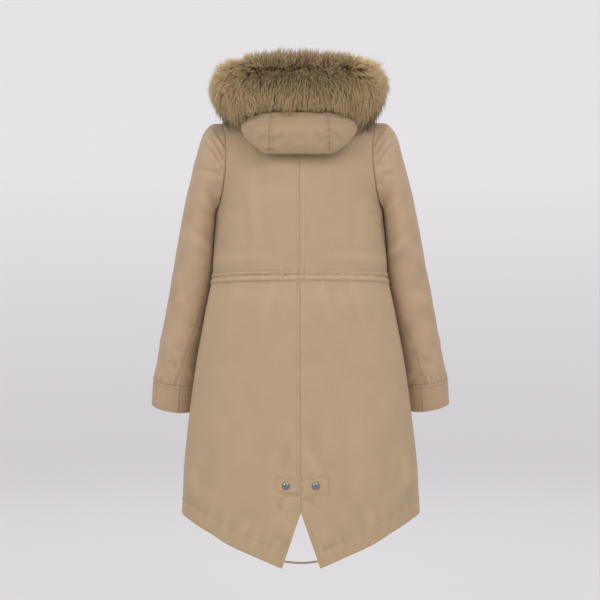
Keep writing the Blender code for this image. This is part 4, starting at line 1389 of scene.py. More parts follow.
def cuff_relief(hand):
    def relief(across, ring, place, out):
        top, foot = (ring - CUFF_RING) * CUFF_STEP, (LAST_RING - ring) * CUFF_STEP
        height = TRIM + 0.0007 * soft_noise(place, 0.035, 4.4 + hand)
        wave = ripple(across * CUFF_ROUND, 50 + hand, 0.012, 0.019, 0.031)
        height += 0.0004 * wave * (np.exp(-top / 0.008) + np.exp(-foot / 0.010))
        for line, depth in ((0.0075, 0.0004), (0.060, 0.0005)):
            height -= depth * bell(top - line, 0.0014)
        return height - 0.0010 * cuff_edge(across, ring)

    return relief


cuff_columns = graded(0.0003, 0.9997, 84, (0.0, 0.024, 0.004), (1.0, 0.024, 0.004))
cuff_rings = graded(CUFF_RING, LAST_RING, 16, (CUFF_RING, 0.25, 0.04), (LAST_RING, 0.10, 0.05))
for hand in (LEFT, RIGHT):
    surface = lambda across, ring, hand=hand: sleeve(hand, CUFF_SEAM + 360 * across, ring)
    skin = skin_of(surface, cuff_relief(hand), np.array([0.305 * hand, -0.083, -0.67]))
    name = f"cuff_{HAND_NAMES[hand]}"
    lay(name, skin, cuff_columns, cuff_rings, CLOTH + TRIM, cuff_edge, sleeve_lit_canvas)

# %% [markdown]
# ## Hood
# The hood is three panels: a middle strip from neck to edge and two sides. Lying back it makes a shallow
# bag with a rounded bottom edge, and its two long seams are stitched down on both sides, which puckers
# them. A horizontal ridge shows where the bag's layers lie on each other.

# %% Folds of the hood
HOOD_FOLDS = folds(
    BEHIND,
    (0.054, -0.029, -0.054, -0.03, 0.001, 0.0036, 0.0044, -0.4, 1),
    (0.006, -0.029, -0.004, -0.034, 0.001, 0.003, -0.0012, 0.0, 1),
    (0.06, -0.088, 0.03, -0.066, 0.003, 0.0075, -0.0024, 0.4, 1),
    (-0.056, -0.09, -0.034, -0.06, -0.003, 0.0075, -0.0022, -0.4, 1),
    (0.094, -0.086, 0.07, -0.066, 0.003, 0.007, -0.002, 0.4, 1),
    (-0.096, -0.084, -0.072, -0.062, -0.003, 0.007, -0.002, -0.4, 1),
    (0.118, -0.05, 0.088, -0.034, 0.002, 0.007, 0.0016, 0.3, 1),
    (-0.118, -0.052, -0.09, -0.036, -0.002, 0.007, 0.0016, 0.3, 1),
    (0.03, -0.098, -0.034, -0.097, -0.002, 0.0055, 0.0014, 0.3, 0),
)

# %% Hood pieces
NAPE_BAG = np.array([0.0, 0.135, -0.060])
STATION_WIDTH, ALONG_LENGTH = 0.30, 0.26


def hood_edge(station, along):
    beside = np.abs(np.abs(station) - HOOD_SEAM) * STATION_WIDTH
    near = bell(beside, ROLL_WIDTH)
    return np.maximum(near, bell(along * ALONG_LENGTH, ROLL_WIDTH))


def hood_relief(station, along, place, out):
    behind = smooth(0.3, 0.5, along)
    height = CLOTH / 2 + behind * fold_relief(HOOD_FOLDS, place, out)
    height += 0.0008 * soft_noise(place, (0.035, 0.05, 0.03), 6.2)
    beside = np.abs(np.abs(station) - HOOD_SEAM) * STATION_WIDTH
    wave = ripple(along * ALONG_LENGTH + np.sign(station) * 0.07, 91, 0.0095, 0.014, 0.023)
    height += 0.0013 * wave * bell(beside, 0.008) * behind
    height = height + FELL_LIFT * smooth(0.009, 0.008, beside) + grooves(beside, 0.0022, 0.0060)
    return height - 0.6 * SEAM_ROLL * hood_edge(station, along)


hood_skin = skin_of(hood, hood_relief, NAPE_BAG)
hood_along = graded(0.0, 1.0, 62, (0.5, 0.12, 0.012))
inner_line, outer_line = HOOD_SEAM - 0.0004, HOOD_SEAM + 0.0004
one_side = graded(outer_line, 1.0, 56, (HOOD_SEAM, 0.03, 0.005))
fine = ((-inner_line, 0.02, 0.005), (inner_line, 0.02, 0.005))
hood_parts = {
    "hood_centre": graded(-inner_line, inner_line, 40, *fine),
    "hood_left": one_side,
    "hood_right": -one_side,
}
for name, stations in hood_parts.items():
    lay(name, hood_skin, stations, hood_along, CLOTH, hood_edge, hood_shaded_canvas)

# %% [markdown]
# ## Stitches
# A coat has thousands of stitches, all alike, so Geometry Nodes set one small thread loop on every point
# of the sewn lines. Each point knows which way its seam runs and which way is outwards. The tree's inputs
# are the stitch's length and width and a seed, which lets no two be quite the same length.

# %% The stitch tree
OBJECT, MATERIAL = "NodeSocketObject", "NodeSocketMaterial"
INTEGER, GEOMETRY = "NodeSocketInt", "NodeSocketGeometry"


def named(tree, name, kind="FLOAT_VECTOR"):
    made = add_node(tree, "GeometryNodeInputNamedAttribute", {"Name": name}, data_type=kind)
    return made.outputs["Attribute"]


def random_value(tree, low, high, seed):
    values = {2: low, 3: high, "Seed": seed}
    return add_node(tree, "FunctionNodeRandomValue", values, data_type="FLOAT").outputs[1]


def turned_along(tree, run, out, long_axis, out_axis):
    values = {"Primary Axis": run, "Secondary Axis": out}
    axes = {"primary_axis": long_axis, "secondary_axis": out_axis}
    return add_node(tree, "FunctionNodeAxesToRotation", values, **axes).outputs[0]


def plant(tree, inlet, outlet, values):
    """The end of a tree: a real copy of the instance on each point, in the finish that it is given."""
    planted = add_node(tree, "GeometryNodeInstanceOnPoints", values)
    real = add_node(tree, "GeometryNodeRealizeInstances", {"Geometry": planted.outputs[0]})
    values = {"Geometry": real.outputs[0], "Material": inlet["Finish"]}
    tree.links.new(add_node(tree, "GeometryNodeSetMaterial", values).outputs[0], outlet[0])


stitch_tree, inlet, outlet = new_tree(
    "thread_stitches",
    "GeometryNodeTree",
    [
        ("Points", GEOMETRY, None),
        ("Stitch length", FLOAT, 0.003),
        ("Stitch width", FLOAT, 0.0007),
        ("Seed", INTEGER, 1),
        ("Finish", MATERIAL, None),
    ],
    [("Stitches", GEOMETRY)],
)
uneven = random_value(stitch_tree, 0.88, 1.06, inlet["Seed"])
half_length = math_node(stitch_tree, "MULTIPLY", inlet["Stitch length"], 0.5)
half_width = math_node(stitch_tree, "MULTIPLY", inlet["Stitch width"], 0.5)
half_length = math_node(stitch_tree, "MULTIPLY", half_length, uneven)
values = {"X": half_length, "Y": half_width, "Z": half_width}
size = add_node(stitch_tree, "ShaderNodeCombineXYZ", values)
loop = add_node(stitch_tree, "GeometryNodeMeshIcoSphere", {"Radius": 1.0, "Subdivisions": 1})
upright = turned_along(stitch_tree, named(stitch_tree, "along"), named(stitch_tree, "out"), "X", "Z")
values = {"Points": inlet["Points"], "Instance": loop.outputs["Mesh"]}
plant(stitch_tree, inlet, outlet, {**values, "Rotation": upright, "Scale": size.outputs[0]})


def run_tree(name, mesh, tree, **settings):
    """The plain mesh that a tree makes of a mesh, with its inputs set by identifier."""
    host = link(bpy.data.objects.new(name + "_points", mesh))
    modifier = host.modifiers.new("tree", "NODES")
    modifier.node_group = tree
    for socket in tree.interface.items_tree:
        if socket.in_out == "INPUT" and socket.name in settings:
            modifier[socket.identifier] = settings[socket.name]
    host.update_tag()
    graph = bpy.context.evaluated_depsgraph_get()
    ready = host.evaluated_get(graph)
    made = bpy.data.meshes.new_from_object(ready, preserve_all_data_layers=True, depsgraph=graph)
    host.modifiers.remove(modifier)
    bpy.data.objects.remove(host)
    made.name = name
    return link(bpy.data.objects.new(name, made))


# %% [markdown]
# ### Where the seams are sewn
# A seam is a path in a sheet's own two measures, so it follows the cloth and its folds. Most seams are
# sewn twice, 1.5 mm and 7 mm from the edge, which holds the allowance flat.

# %% Laying out the rows
PITCH, STITCH, THREAD = 0.0036, 0.0029, 0.0007
THREAD_LIFT = 0.0001  # how far a stitch's middle stands off the cloth
SAMPLES = 600
rows = {"body": [], "sleeves": [], "hood": []}


def sew(part, name, across, up):
    """Adds points a stitch apart along a path on a sheet, with the path's direction and the way out. One
    number for across or up holds for the whole path."""
    share = np.linspace(0, 1, SAMPLES)
    ways = np.broadcast_arrays(across, up)
    first, second = (np.interp(share, np.linspace(0, 1, len(way)), way) for way in ways)
    place, _, _ = skins[name](first, second)
    length = travelled(place)
    at = np.arange(PITCH / 2, length[-1], PITCH)
    first, second = np.interp(at, length, first), np.interp(at, length, second)
    place, out, _ = skins[name](first, second)
    along = unit(np.gradient(place, axis=0))
    rows[part].append(np.concatenate([place + out * THREAD_LIFT, along, out], axis=-1))


def from_seam(offset, width, seam):
    """The place across a piece at that distance from its seam, which is at 0 or 1."""
    return offset / width if seam == 0 else 1 - offset / width


VENT_ROW = 0.0068  # from the split's edge
for distance in (NEAR, FELL_WIDTH - 0.0008):
    share = from_seam(distance, PANEL_WIDTH, 0)
    sew("body", "back_left", share, [APEX + 0.01, 4.99])
for side in (BACK, FRONT):
    for hand in (LEFT, RIGHT):
        name = f"{SIDE_NAMES[side]}_{HAND_NAMES[hand]}"
        for up in (1 - NEAR / HEM_BAND, 0.05):
            sew("body", name, [0.004, 0.996], up)
        if side == BACK:
            share = VENT_ROW / PANEL_WIDTH
            sew("body", name, [share, share, 0.002], [0.02, APEX - 0.05, APEX + 0.02])
            sew("body", name, from_seam(NEAR, PANEL_WIDTH, 1), [1.0, 4.0])
        sew("body", name, 1 - 0.0075, [4.03, 4.97])
for hand in (LEFT, RIGHT):
    inner, outer, above, below = STUD_BOX[hand]
    name = f"back_{HAND_NAMES[hand]}"
    level = float(STUD_UP[0])
    per_metre = 1 / (WAIST_LOW - TAIL_Z - HEM_BAND)
    top_up, low_up = level + above * per_metre, level - below * per_metre
    left, right = (float(across_at(BACK, x, level)) for x in (inner, outer))
    sew("body", name, [left, right], top_up)
    sew("body", name, right, [top_up, low_up])
    sew("body", name, [right, left], low_up)
for name in [n for n in skins if n.startswith("waist_tunnel")]:
    start = SEAM - 1 if name.endswith("back") else float(across_at(FRONT, 0.04, 2.5))
    for up in (2.07, 2.93):
        sew("body", name, [start + 0.002, 1 - SEAM - 0.002], up)
for x in (PLACKET[0] + 0.006, PLACKET[1] - 0.006, PLACKET[1] - 0.024):
    sew("body", "front_flap", x, [0.06, 4.90])

# %% Sleeve, cuff and hood rows
for hand in (LEFT, RIGHT):
    upper, cuff = f"upper_sleeve_{HAND_NAMES[hand]}", f"cuff_{HAND_NAMES[hand]}"
    for distance in (NEAR, FAR):
        sew("sleeves", upper, from_seam(distance, UPPER_WIDTH, 1), [0.3, SLEEVE_END])
    for ring in (CUFF_RING + 0.06, CUFF_RING + 0.27, LAST_RING - 0.22):
        sew("sleeves", cuff, [0.004, 0.996], ring)
    for distance in (NEAR, FAR):
        share = from_seam(distance, CUFF_ROUND, 0)
        sew("sleeves", cuff, share, [CUFF_RING + 0.05, LAST_RING - 0.05])
for hand in (LEFT, RIGHT):
    for distance in (NEAR, FAR):
        share = distance / STATION_WIDTH
        sew("hood", "hood_centre", hand * (HOOD_SEAM - share), [0.03, 0.98])
        sew("hood", f"hood_{HAND_NAMES[hand]}", hand * (HOOD_SEAM + share), [0.03, 0.98])


def stitch_object(part, seed):
    name, every = "stitches_" + part, np.concatenate(rows[part])
    mesh = bpy.data.meshes.new(name)
    mesh.from_pydata(every[:, :3].tolist(), [], [])
    write(mesh, "along", every[:, 3:6], "FLOAT_VECTOR")
    write(mesh, "out", every[:, 6:], "FLOAT_VECTOR")
    settings = {"Stitch length": STITCH, "Stitch width": THREAD, "Seed": seed, "Finish": thread}
    made = run_tree(name, mesh, stitch_tree, **settings)
    print(name, len(every), "stitches,", len(made.data.polygons), "faces")
    return made


stitches = {part: stitch_object(part, seed) for seed, part in enumerate(rows, 3)}

# %% [markdown]
# ## Fur trim
# Long fur is sewn to a strip round the hood's edge. Its hairs stand on a dark backing, part along a line
# where some fall back over the top and the rest hang down, and gather into tufts. Single hairs would be
# far too many, so a small tuft of eight is made, in three kinds, and Geometry Nodes set thousands
# of them on the backing. Each follows `comb`, the way the fur lies there, and is as long as `reach`.

# %% Three kinds of tuft
HAIRS, HAIR_WIDTH = 8, 0.0195  # a tuft's hairs, and a hair's width for a length of 1
KNEE = 0.5  # where along a hair its bend is


def hair_tuft(name, seed):
    """Closed three-sided hairs, one long: they leave the backing along +X and lie down along +Z."""
    rng = np.random.default_rng(seed)
    vertices, faces, tips = [], [], []
    for hair in range(HAIRS):
        root_place = np.array([0, *rng.uniform(-0.10, 0.10, 2)])
        length = rng.uniform(0.72, 1.08)
        away = rng.uniform(0.10, 0.34)
        splay = rng.normal(0, 0.15)
        knee = root_place + np.array([away, splay * 0.35, length * KNEE])
        end = root_place + np.array([away * 0.9 + rng.normal(0, 0.07), splay, length])
        offset = len(vertices)
        width = HAIR_WIDTH * rng.uniform(0.75, 1.2)
        for middle, part in ((root_place, 1.0), (knee, 0.85)):
            for corner in range(3):
                turn = 2 * math.pi * (corner / 3) + hair
                spread = np.array([math.cos(turn), math.sin(turn), 0.0])
                vertices.append(middle + spread * width * part)
        vertices.append(end)
        tips += [0.0] * 3 + [0.55] * 3 + [1.0]
        faces.append((offset + 2, offset + 1, offset))
        for corner in range(3):
            low, high = offset + corner, offset + (corner + 1) % 3
            faces.append((low, high, high + 3, low + 3))
            faces.append((low + 3, high + 3, offset + 6))
    mesh = bpy.data.meshes.new(name)
    mesh.from_pydata([v.tolist() for v in vertices], [], faces)
    mesh.shade_smooth()
    write(mesh, "tip", tips)
    return bpy.data.objects.new(name, mesh)


tufts = bpy.data.collections.new("tufts")
for kind in range(3):
    tufts.objects.link(hair_tuft(f"tuft_{kind}", 11 + kind))

# %% [markdown]
# ### The tree that plants the tufts
# Points are scattered a set distance apart, so that no bald spots show. On each, a tuft is turned so that
# its length follows `comb` and its bend faces out of the backing.

# %% The fur tree
fur_tree, inlet, outlet = new_tree(
    "fur_tufts",
    "GeometryNodeTree",
    [
        ("Backing", GEOMETRY, None),
        ("Tufts", "NodeSocketCollection", None),
        ("Spacing", FLOAT, 0.003),
        ("Density", FLOAT, 90000.0),
        ("Shortest", FLOAT, 0.8),
        ("Longest", FLOAT, 1.15),
        ("Seed", INTEGER, 1),
        ("Finish", MATERIAL, None),
    ],
    [("Fur", GEOMETRY)],
)
scattered = add_node(
    fur_tree,
    "GeometryNodeDistributePointsOnFaces",
    {
        "Mesh": inlet["Backing"],
        "Distance Min": inlet["Spacing"],
        "Density Max": inlet["Density"],
        "Seed": inlet["Seed"],
    },
    distribute_method="POISSON",
)
seed = inlet["Seed"]
# Each tuft's darkness, painted shade under the lobes included, with a little random unevenness.
tuft_tone_and_shade = random_value(fur_tree, -0.12, 0.12, seed)
tuft_tone_and_shade = math_node(fur_tree, "ADD", named(fur_tree, "tone", "FLOAT"), tuft_tone_and_shade)
toned = add_node(
    fur_tree,
    "GeometryNodeStoreNamedAttribute",
    {"Geometry": scattered.outputs["Points"], "Name": "tone", "Value": tuft_tone_and_shade},
    data_type="FLOAT",
    domain="POINT",
)
kinds = add_node(
    fur_tree,
    "GeometryNodeCollectionInfo",
    {"Collection": inlet["Tufts"], "Separate Children": True, "Reset Children": True},
)
length = random_value(fur_tree, inlet["Shortest"], inlet["Longest"], seed)
values = {4: 0, 5: 2, "Seed": seed}
which = add_node(fur_tree, "FunctionNodeRandomValue", values, data_type="INT").outputs[2]
comb = turned_along(fur_tree, named(fur_tree, "comb"), scattered.outputs["Normal"], "Z", "X")
planting = {
    "Points": toned.outputs[0],
    "Instance": kinds.outputs[0],
    "Pick Instance": True,
    "Instance Index": which,
    "Rotation": comb,
    "Scale": math_node(fur_tree, "MULTIPLY", named(fur_tree, "reach", "FLOAT"), length),
}
plant(fur_tree, inlet, outlet, planting)

# %% [markdown]
# ### The backing and the lie of the fur
# The backing is the same roll as the fur's reach at about six tenths of its size, and rounds off at both
# ends. The comb turns from up to down across the parting. It fans outwards to the sides, the lobes over
# the shoulders hang more, and a soft noise keeps neighbours from lying quite alike.

# %% Backing
BACKING_SHARE = 0.62
END_ROUND = 0.035
# The tufts at that station are painted dark, as the shade under each lobe.
UNDER_TUFT = 0.59  # the station of the dark tufts over each shoulder
PARTING, PART_WIDTH = 36.0, 40.0


def backing_place(station, angle):
    middle, _, _ = fur_frame(station)
    past = np.clip((np.abs(station) - (1 - END_ROUND)) / END_ROUND, 0, 1)
    taper = np.sqrt(1 - past**2)[..., None]
    return middle + (fur(station, angle) - middle) * BACKING_SHARE * taper


def comb_of(station, angle):
    """The way the fur lies, its length, and how dark it is, painted darkest as shade under each lobe."""
    middle, out, up = fur_frame(station)
    half = np.abs(station)
    radial = unit(backing_place(station, angle) - middle + 1e-9)
    around = unit(fur(station, angle + 1) - fur(station, angle - 1))
    run = unit(np.cross(up, out)) * hand_of(station)[..., None]
    run = run * np.sign(dot(run, points(hand_of(station), 0, 0)))[..., None]
    turned = (angle + 180) % 360 - 180
    place = middle + radial * 0.06
    wander = 16 * soft_noise(place, 0.03, 5.1)
    lean = np.tanh((turned + wander - PARTING) / PART_WIDTH)
    lean = lean * np.where(lean > 0, 0.6, 1.0)
    inner = smooth(80, 150, np.abs(turned)) * (turned > 0) + smooth(120, 170, -turned)
    lean = lean * (1 - inner)
    lobe = smooth(0.3, 0.55, half) * smooth(1.0, 0.8, half)
    flow = radial * 0.55 + around * (lean * (0.95 - 0.35 * lobe))[..., None]
    flow += run * (0.35 * half * (1 - inner))[..., None]
    drop = 0.10 + 0.22 * lobe * (turned < 50)
    flow += points(0, 0, -drop)
    sway = [
        soft_noise(place, 0.022, shift) + 0.6 * soft_noise(place, 0.009, shift)
        for shift in (1.3, 4.9, 9.2)
    ]
    flow += (0.26 + 0.20 * (1 - np.abs(lean)))[..., None] * np.stack(sway, axis=-1)
    depth = read(FUR, "half_depth", half) * np.abs(cosine(angle))
    height = read(FUR, "half_height", half) * np.abs(sine(angle))
    room = (1 - BACKING_SHARE) * np.hypot(depth, height)
    reach = room * (1.30 + 0.25 * np.abs(lean)) * (1 + 0.12 * soft_noise(place, 0.03, 2.2))
    high = smooth(35, 70, turned) * smooth(150, 120, turned)
    reach = reach * (1 - (0.20 + 0.14 * smooth(0.25, 0.5, half)) * high)
    under = bell(half - UNDER_TUFT, 0.07) * bell(turned + 70, 38)
    hanging = bell(half - 0.51, 0.09) * bell(turned + 85, 35)
    reach = reach * (1 + 0.25 * under + 0.55 * hanging)
    above = smooth(-65, 35, turned) * smooth(170, 120, turned) * (1 - 0.75 * smooth(0.22, 0.5, half))
    # Darker fur over the top of the trim, painted shade in the tufts under each lobe, and a little noise.
    tone = 0.95 * under + 0.56 * above + 0.02 + 0.07 * soft_noise(place, 0.02, 7.7)
    return unit(flow), reach, np.clip(tone, 0, 1)


def backing_mesh(name, stations, sides):
    angles = np.arange(sides) * 360 / sides
    across, down = np.meshgrid(angles, stations)
    mesh = bpy.data.meshes.new(name)
    faces = strip(len(stations), sides, 0, closed=True)
    mesh.from_pydata(backing_place(down, across).reshape(-1, 3).tolist(), [], faces.tolist())
    comb, reach, tone = comb_of(down, across)
    write(mesh, "comb", comb, "FLOAT_VECTOR")
    write(mesh, "reach", reach)
    write(mesh, "tone", tone)
    middle = fur_frame(np.array([stations[0]]))[0][0]
    face = mesh.polygons[0]
    if face.normal.dot(face.center - Vector(middle)) < 0:
        mesh.flip_normals()
    return mesh


# %% Planting the fur
SIDES, SPACING = 56, 0.00435
QUARTERS = {"far_left": (0.46, 1.0), "left": (0.0, 0.46), "right": (-0.46, 0.0), "far_right": (-1.0, -0.46)}
fur_pieces = []
for seed, (part, (start, end)) in enumerate(QUARTERS.items(), 21):
    mesh = backing_mesh("backing_" + part, np.linspace(start, end, 46), SIDES)
    settings = {"Tufts": tufts, "Spacing": SPACING, "Seed": seed, "Finish": fur_finish}
    made = run_tree("fur_" + part, mesh, fur_tree, **settings)
    triangles = sum(len(face.vertices) - 2 for face in made.data.polygons)
    print(made.name, len(made.data.polygons) // (7 * HAIRS), "tufts,", triangles, "triangles")
    fur_pieces.append(made)

whole = np.concatenate([-np.linspace(1, 0, 64), np.linspace(0, 1, 64)[1:]])
roll = link(bpy.data.objects.new("fur_backing", backing_mesh("fur_backing", whole, 40)))
poles = bmesh.new()
poles.from_mesh(roll.data)
bmesh.ops.remove_doubles(poles, verts=poles.verts, dist=1e-5)
poles.to_mesh(roll.data)
poles.free()
roll.data.materials.append(backing)
roll.data.shade_smooth()
print("backing vertices:", len(roll.data.vertices))

# %% [markdown]
# ## Press studs
# A press stud's cap is stamped from sheet: a flat dome, a shallow groove and a rolled rim. It is turned
# once from its profile, and a small tree sets a copy on each place, facing out of the cloth.

# %% One stud cap
STUD_STEPS = 40
STUD_PROFILE = table(
    "share  rise",
    (0.0, 1.00),
    (0.30, 0.985),
    (0.52, 0.93),
    (0.66, 0.84),
    (0.72, 0.74),
    (0.77, 0.72),
    (0.84, 0.80),
    (0.92, 0.74),
    (0.98, 0.56),
    (1.00, 0.34),
    (0.98, 0.12),
    (0.94, 0.0),
)


def turned_cap(name):
    """The profile turned about Z, with one vertex at the top and a flat underside."""
    shares, rises = STUD_PROFILE["share"][1:], STUD_PROFILE["rise"][1:]
    angles = np.arange(STUD_STEPS) * 360 / STUD_STEPS
    turn, share = np.meshgrid(angles, shares)
    rise = np.broadcast_to(rises[:, None], share.shape)
    rings = points(cosine(turn) * share * STUD_RADIUS, sine(turn) * share * STUD_RADIUS, rise * STUD_HEIGHT)
    top, count = np.array([[0, 0, STUD_HEIGHT]]), len(shares)
    faces = (strip(count, STUD_STEPS, 1, closed=True)[:, ::-1]).tolist()
    faces += [(0, 1 + i, 1 + (i + 1) % STUD_STEPS) for i in range(STUD_STEPS)]
    faces.append([1 + (count - 1) * STUD_STEPS + i for i in range(STUD_STEPS)][::-1])
    mesh = bpy.data.meshes.new(name)
    mesh.from_pydata(np.concatenate([top, rings.reshape(-1, 3)]).tolist(), [], faces)
    mesh.shade_smooth()
    return bpy.data.objects.new(name, mesh)


# %% The stud tree and its places
stud_tree, inlet, outlet = new_tree(
    "press_studs",
    "GeometryNodeTree",
    [("Points", GEOMETRY, None), ("Cap", OBJECT, None), ("Size", FLOAT, 1.0), ("Finish", MATERIAL, None)],
    [("Studs", GEOMETRY)],
)
cap = add_node(stud_tree, "GeometryNodeObjectInfo", {"Object": inlet["Cap"], "As Instance": True})
upright = turned_along(stud_tree, named(stud_tree, "along"), named(stud_tree, "out"), "X", "Z")
values = {"Points": inlet["Points"], "Instance": cap.outputs["Geometry"]}
plant(stud_tree, inlet, outlet, {**values, "Rotation": upright, "Scale": inlet["Size"]})

STUD_SINK = 0.0003
found = [skins["front_flap"](np.zeros(1), np.array([row])) for row in FRONT_STUD_ROWS]
for hand in (LEFT, RIGHT):
    across = across_at(BACK, VENT_STUD[0], STUD_UP)
    found.append(skins[f"back_{HAND_NAMES[hand]}"](across, STUD_UP))
places, outs = (np.concatenate([stud[i] for stud in found]) for i in (0, 1))
mesh = bpy.data.meshes.new("stud_places")
mesh.from_pydata((places + outs * (3 * GAP - STUD_SINK)).tolist(), [], [])
write(mesh, "out", outs, "FLOAT_VECTOR")
write(mesh, "along", np.tile([1.0, 0.0, 0.0], (len(places), 1)), "FLOAT_VECTOR")
cap_object = turned_cap("stud_cap")
studs = run_tree("press_studs", mesh, stud_tree, Cap=cap_object, Size=1.0, Finish=nickel)
bpy.data.objects.remove(cap_object)
for kind in list(tufts.objects):
    bpy.data.objects.remove(kind)
print("studs:", len(places), "faces:", len(studs.data.polygons))

# %% [markdown]
# ## Hem cord
# A braided cord runs through the hem tunnel and crosses from one tail to the other, where it sags a
# little. Its visible run is one short line, so it is a tube round a path, and its UV map runs along it for
# the braid.

# %% Hem cord
CORD_STEPS, CORD_SIDES = 64, 20
CORD_HIDDEN = 0.003  # how far each end runs on into its tunnel


def cord_path():
    ends = [torso(BACK, hand, np.zeros(1), height_at(BACK, CORD_Z))[0] for hand in (LEFT, RIGHT)]
    share = np.linspace(0, 1, CORD_STEPS)[:, None]
    path = ends[0] * (1 - share) + ends[1] * share
    path[:, 0] *= 1 + CORD_HIDDEN / abs(ends[0][0])
    path[:, 1] -= (CLOTH + TRIM) / 2
    path[:, 2] -= CORD_SAG * 4 * share[:, 0] * (1 - share[:, 0])
    return path


def tube_mesh(name, path, radius, finish):
    """A closed tube round a path, whose UV map is the turn and the length along it in metres."""
    run = unit(np.gradient(path, axis=0))
    side = unit(np.cross(run, np.array([0.0, 0.0, 1.0])))
    over = np.cross(side, run)
    angle, step = np.meshgrid(np.arange(CORD_SIDES) * 360 / CORD_SIDES, np.arange(len(path)))
    strands = 1 + 0.035 * cosine(8 * angle + step * 24)
    ring = side[step] * (cosine(angle) * strands)[..., None]
    ring = ring + over[step] * (sine(angle) * strands)[..., None]
    vertices = (path[step] + ring * radius).reshape(-1, 3)
    faces = strip(len(path), CORD_SIDES, 0, closed=True).tolist()
    faces.append(list(range(CORD_SIDES))[::-1])
    faces.append([(len(path) - 1) * CORD_SIDES + i for i in range(CORD_SIDES)])
    made = mesh_object(name, vertices, faces, finish)
    solid = bmesh.new()
    solid.from_mesh(made.data)
    bmesh.ops.recalc_face_normals(solid, faces=solid.faces)
    solid.to_mesh(made.data)
    solid.free()
    length = travelled(path)
    layer = made.data.uv_layers.new(name="cut")
    for loop in made.data.loops:
        ring, corner = divmod(loop.vertex_index, CORD_SIDES)
        layer.data[loop.index].uv = (corner / CORD_SIDES, length[ring])
    return made, length[-1]


route = cord_path()
hem_cord, cord_length = tube_mesh("hem_cord_braid", route, CORD_DIAMETER / 2, braid_finish)
print("hem cord:", round(float(cord_length), 4), "m")

# %% [markdown]
# ## Studio
# The coat hangs in a round, pale cove: a floor that curves up into a wall all round, so that no edge shows
# from any side. Large soft lights stand where a studio's would: two on the camera's side, one above and
# two on the far side.

# %% Cove
COVE = table(
    "step radius z",
    (0, 0.0, -1.40),
    (1, 4.6, -1.40),
    (2, 5.6, -1.22),
    (3, 6.4, -0.6),
    (4, 6.9, 0.6),
    (5, 7.0, 3.0),
    (6, 7.0, 6.0),
)
COVE_SIDES, COVE_ROWS = 96, 48
COVE_COLOUR = (0.36, 0.355, 0.365)
FLOOR_GLOW, WALL_GLOW = (0.36, 0.345, 0.352), (0.535, 0.520, 0.535)  # as a lit backdrop looks


def cove_mesh(name, finish):
    at = np.linspace(0, 6, COVE_ROWS + 1)[1:]
    radius, level = read(COVE, "radius", at), read(COVE, "z", at)
    angle, row = np.meshgrid(np.arange(COVE_SIDES) * 360 / COVE_SIDES, np.arange(COVE_ROWS))
    vertices = points(cosine(angle) * radius[row], sine(angle) * radius[row], level[row])
    faces = strip(COVE_ROWS, COVE_SIDES, 1, closed=True)[:, ::-1].tolist()
    faces += [(0, 1 + i, 1 + (i + 1) % COVE_SIDES) for i in range(COVE_SIDES)]
    top = np.array([[0, 0, COVE["z"][0]]])
    return mesh_object(name, np.concatenate([top, vertices.reshape(-1, 3)]), faces, finish)


cove_finish = mottled("cove", tuple(0.985 * part for part in COVE_COLOUR), COVE_COLOUR, 0.7, 0.9, 0.0)
tree = cove_finish.node_tree
shader = tree.nodes["Principled BSDF"]
level = add_node(tree, "ShaderNodeSeparateXYZ", {0: coordinates(tree, "Object")}).outputs["Z"]
share = add_node(tree, "ShaderNodeMapRange", {"Value": level, "From Min": -1.4, "From Max": 0.4})
glow = colour_ramp(tree, share.outputs[0], (0.0, FLOOR_GLOW), (1.0, WALL_GLOW))
tree.links.new(glow, shader.inputs["Emission Color"])
shader.inputs["Emission Strength"].default_value = 1.0
cove = cove_mesh("cove", cove_finish)


# %% Lights
AIM = Vector((0, 0, -0.30))
LIGHTS = (
    ("key", (-1.2, 2.7, 1.5), 1.8, 29),
    ("fill", (1.5, 2.8, 1.0), 1.8, 25),
    ("top", (0.0, 0.5, 2.7), 2.2, 21),
    ("front_left", (1.6, -2.6, 1.8), 1.8, 22),
    ("front_right", (-1.5, -2.6, 2.0), 1.8, 26),
)
for name, place, size, power in LIGHTS:
    lamp = bpy.data.lights.new(name, "AREA")
    lamp.size, lamp.energy = size, power
    soft_light = link(bpy.data.objects.new(name, lamp))
    soft_light.location = place
    soft_light.rotation_euler = (AIM - Vector(place)).to_track_quat("-Z", "Y").to_euler()
air = bpy.data.worlds.new("studio_air")
bpy.context.scene.world = air
air.use_nodes = True
air.node_tree.nodes["Background"].inputs["Color"].default_value = (0.93, 0.93, 0.95, 1)
air.node_tree.nodes["Background"].inputs["Strength"].default_value = 0.4
bpy.context.scene.view_settings.view_transform = "Standard"
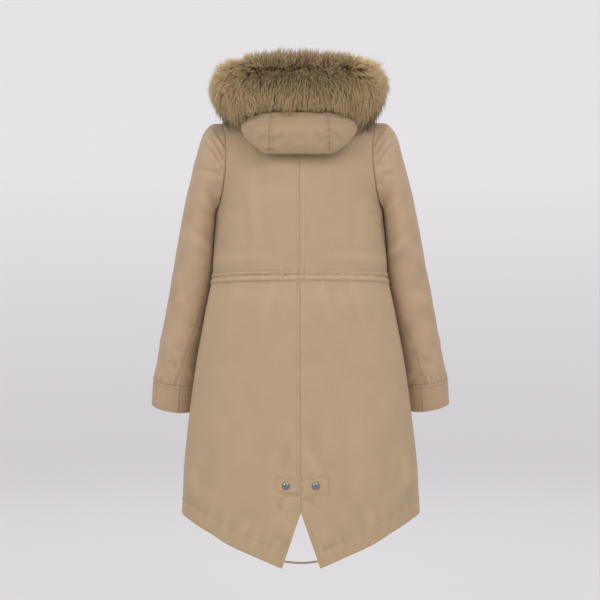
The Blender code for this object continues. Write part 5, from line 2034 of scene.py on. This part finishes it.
print("lights:", len(LIGHTS))

# %% [markdown]
# ## What each piece stands for
# Every piece rides on the coat's one body and stands for its solid, which is hidden. Each sheet's cut is
# stated: the flat rectangle that it was cut from and the cut's own area, both in metres.


# %% Sheets of cloth
def pair(name, width, length, area, held, *hangs_from):
    """The cuts of a left and a right piece, which hang from pieces of their own side."""
    return {
        f"{name}_{hand}": (width, length, area, held, [f"{other}_{hand}" for other in hangs_from])
        for hand in HAND_NAMES.values()
    }


CUTS = {
    **pair("back", 0.37, 1.07, 0.290, "hung"),
    **pair("front", 0.37, 0.97, 0.270, "hung", "back"),
    "front_flap": (0.072, 0.89, 0.061, "hung", ["front_right"]),
    "waist_tunnel_back": (0.52, 0.027, 0.0138, "gathered", ["back_left", "back_right"]),
    **pair("waist_tunnel_front", 0.24, 0.027, 0.0062, "gathered", "front"),
    **pair("upper_sleeve", 0.34, 0.66, 0.165, "hung", "back"),
    **pair("under_sleeve", 0.12, 0.46, 0.042, "hung", "upper_sleeve"),
    **pair("cuff", 0.31, 0.068, 0.0205, "hung", "upper_sleeve"),
    "hood_centre": (0.14, 0.27, 0.033, "draped", ["back_left", "back_right"]),
    **pair("hood", 0.20, 0.27, 0.022, "draped", "back"),
}
SEWN = {"back_left": "body", "upper_sleeve_left": "sleeves", "hood_centre": "hood"}
for name, (width, length, area, held, hangs_from) in CUTS.items():
    cloth = sheets[name]
    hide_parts(name)
    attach(cloth, "root")
    threads = [stitches[SEWN[name]]] if name in SEWN else []
print("sheets declared:", len(CUTS))

# %% Fur, studs, cord and stitches
STUD_NODES = [f"front_stud_{i}" for i in range(1, 7)] + ["vent_stud_left", "vent_stud_right"]
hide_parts("fur_trim")
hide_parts(*STUD_NODES)
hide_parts("hem_cord")
for piece, finish in [(roll, "fur"), (studs, "nickel"), (hem_cord, "cord")]:
    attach(piece, "root")
for piece in fur_pieces:
    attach(piece, "root")
for piece in stitches.values():
    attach(piece, "root")

# %% [markdown]
# ## Last

# %% Importing json
import json
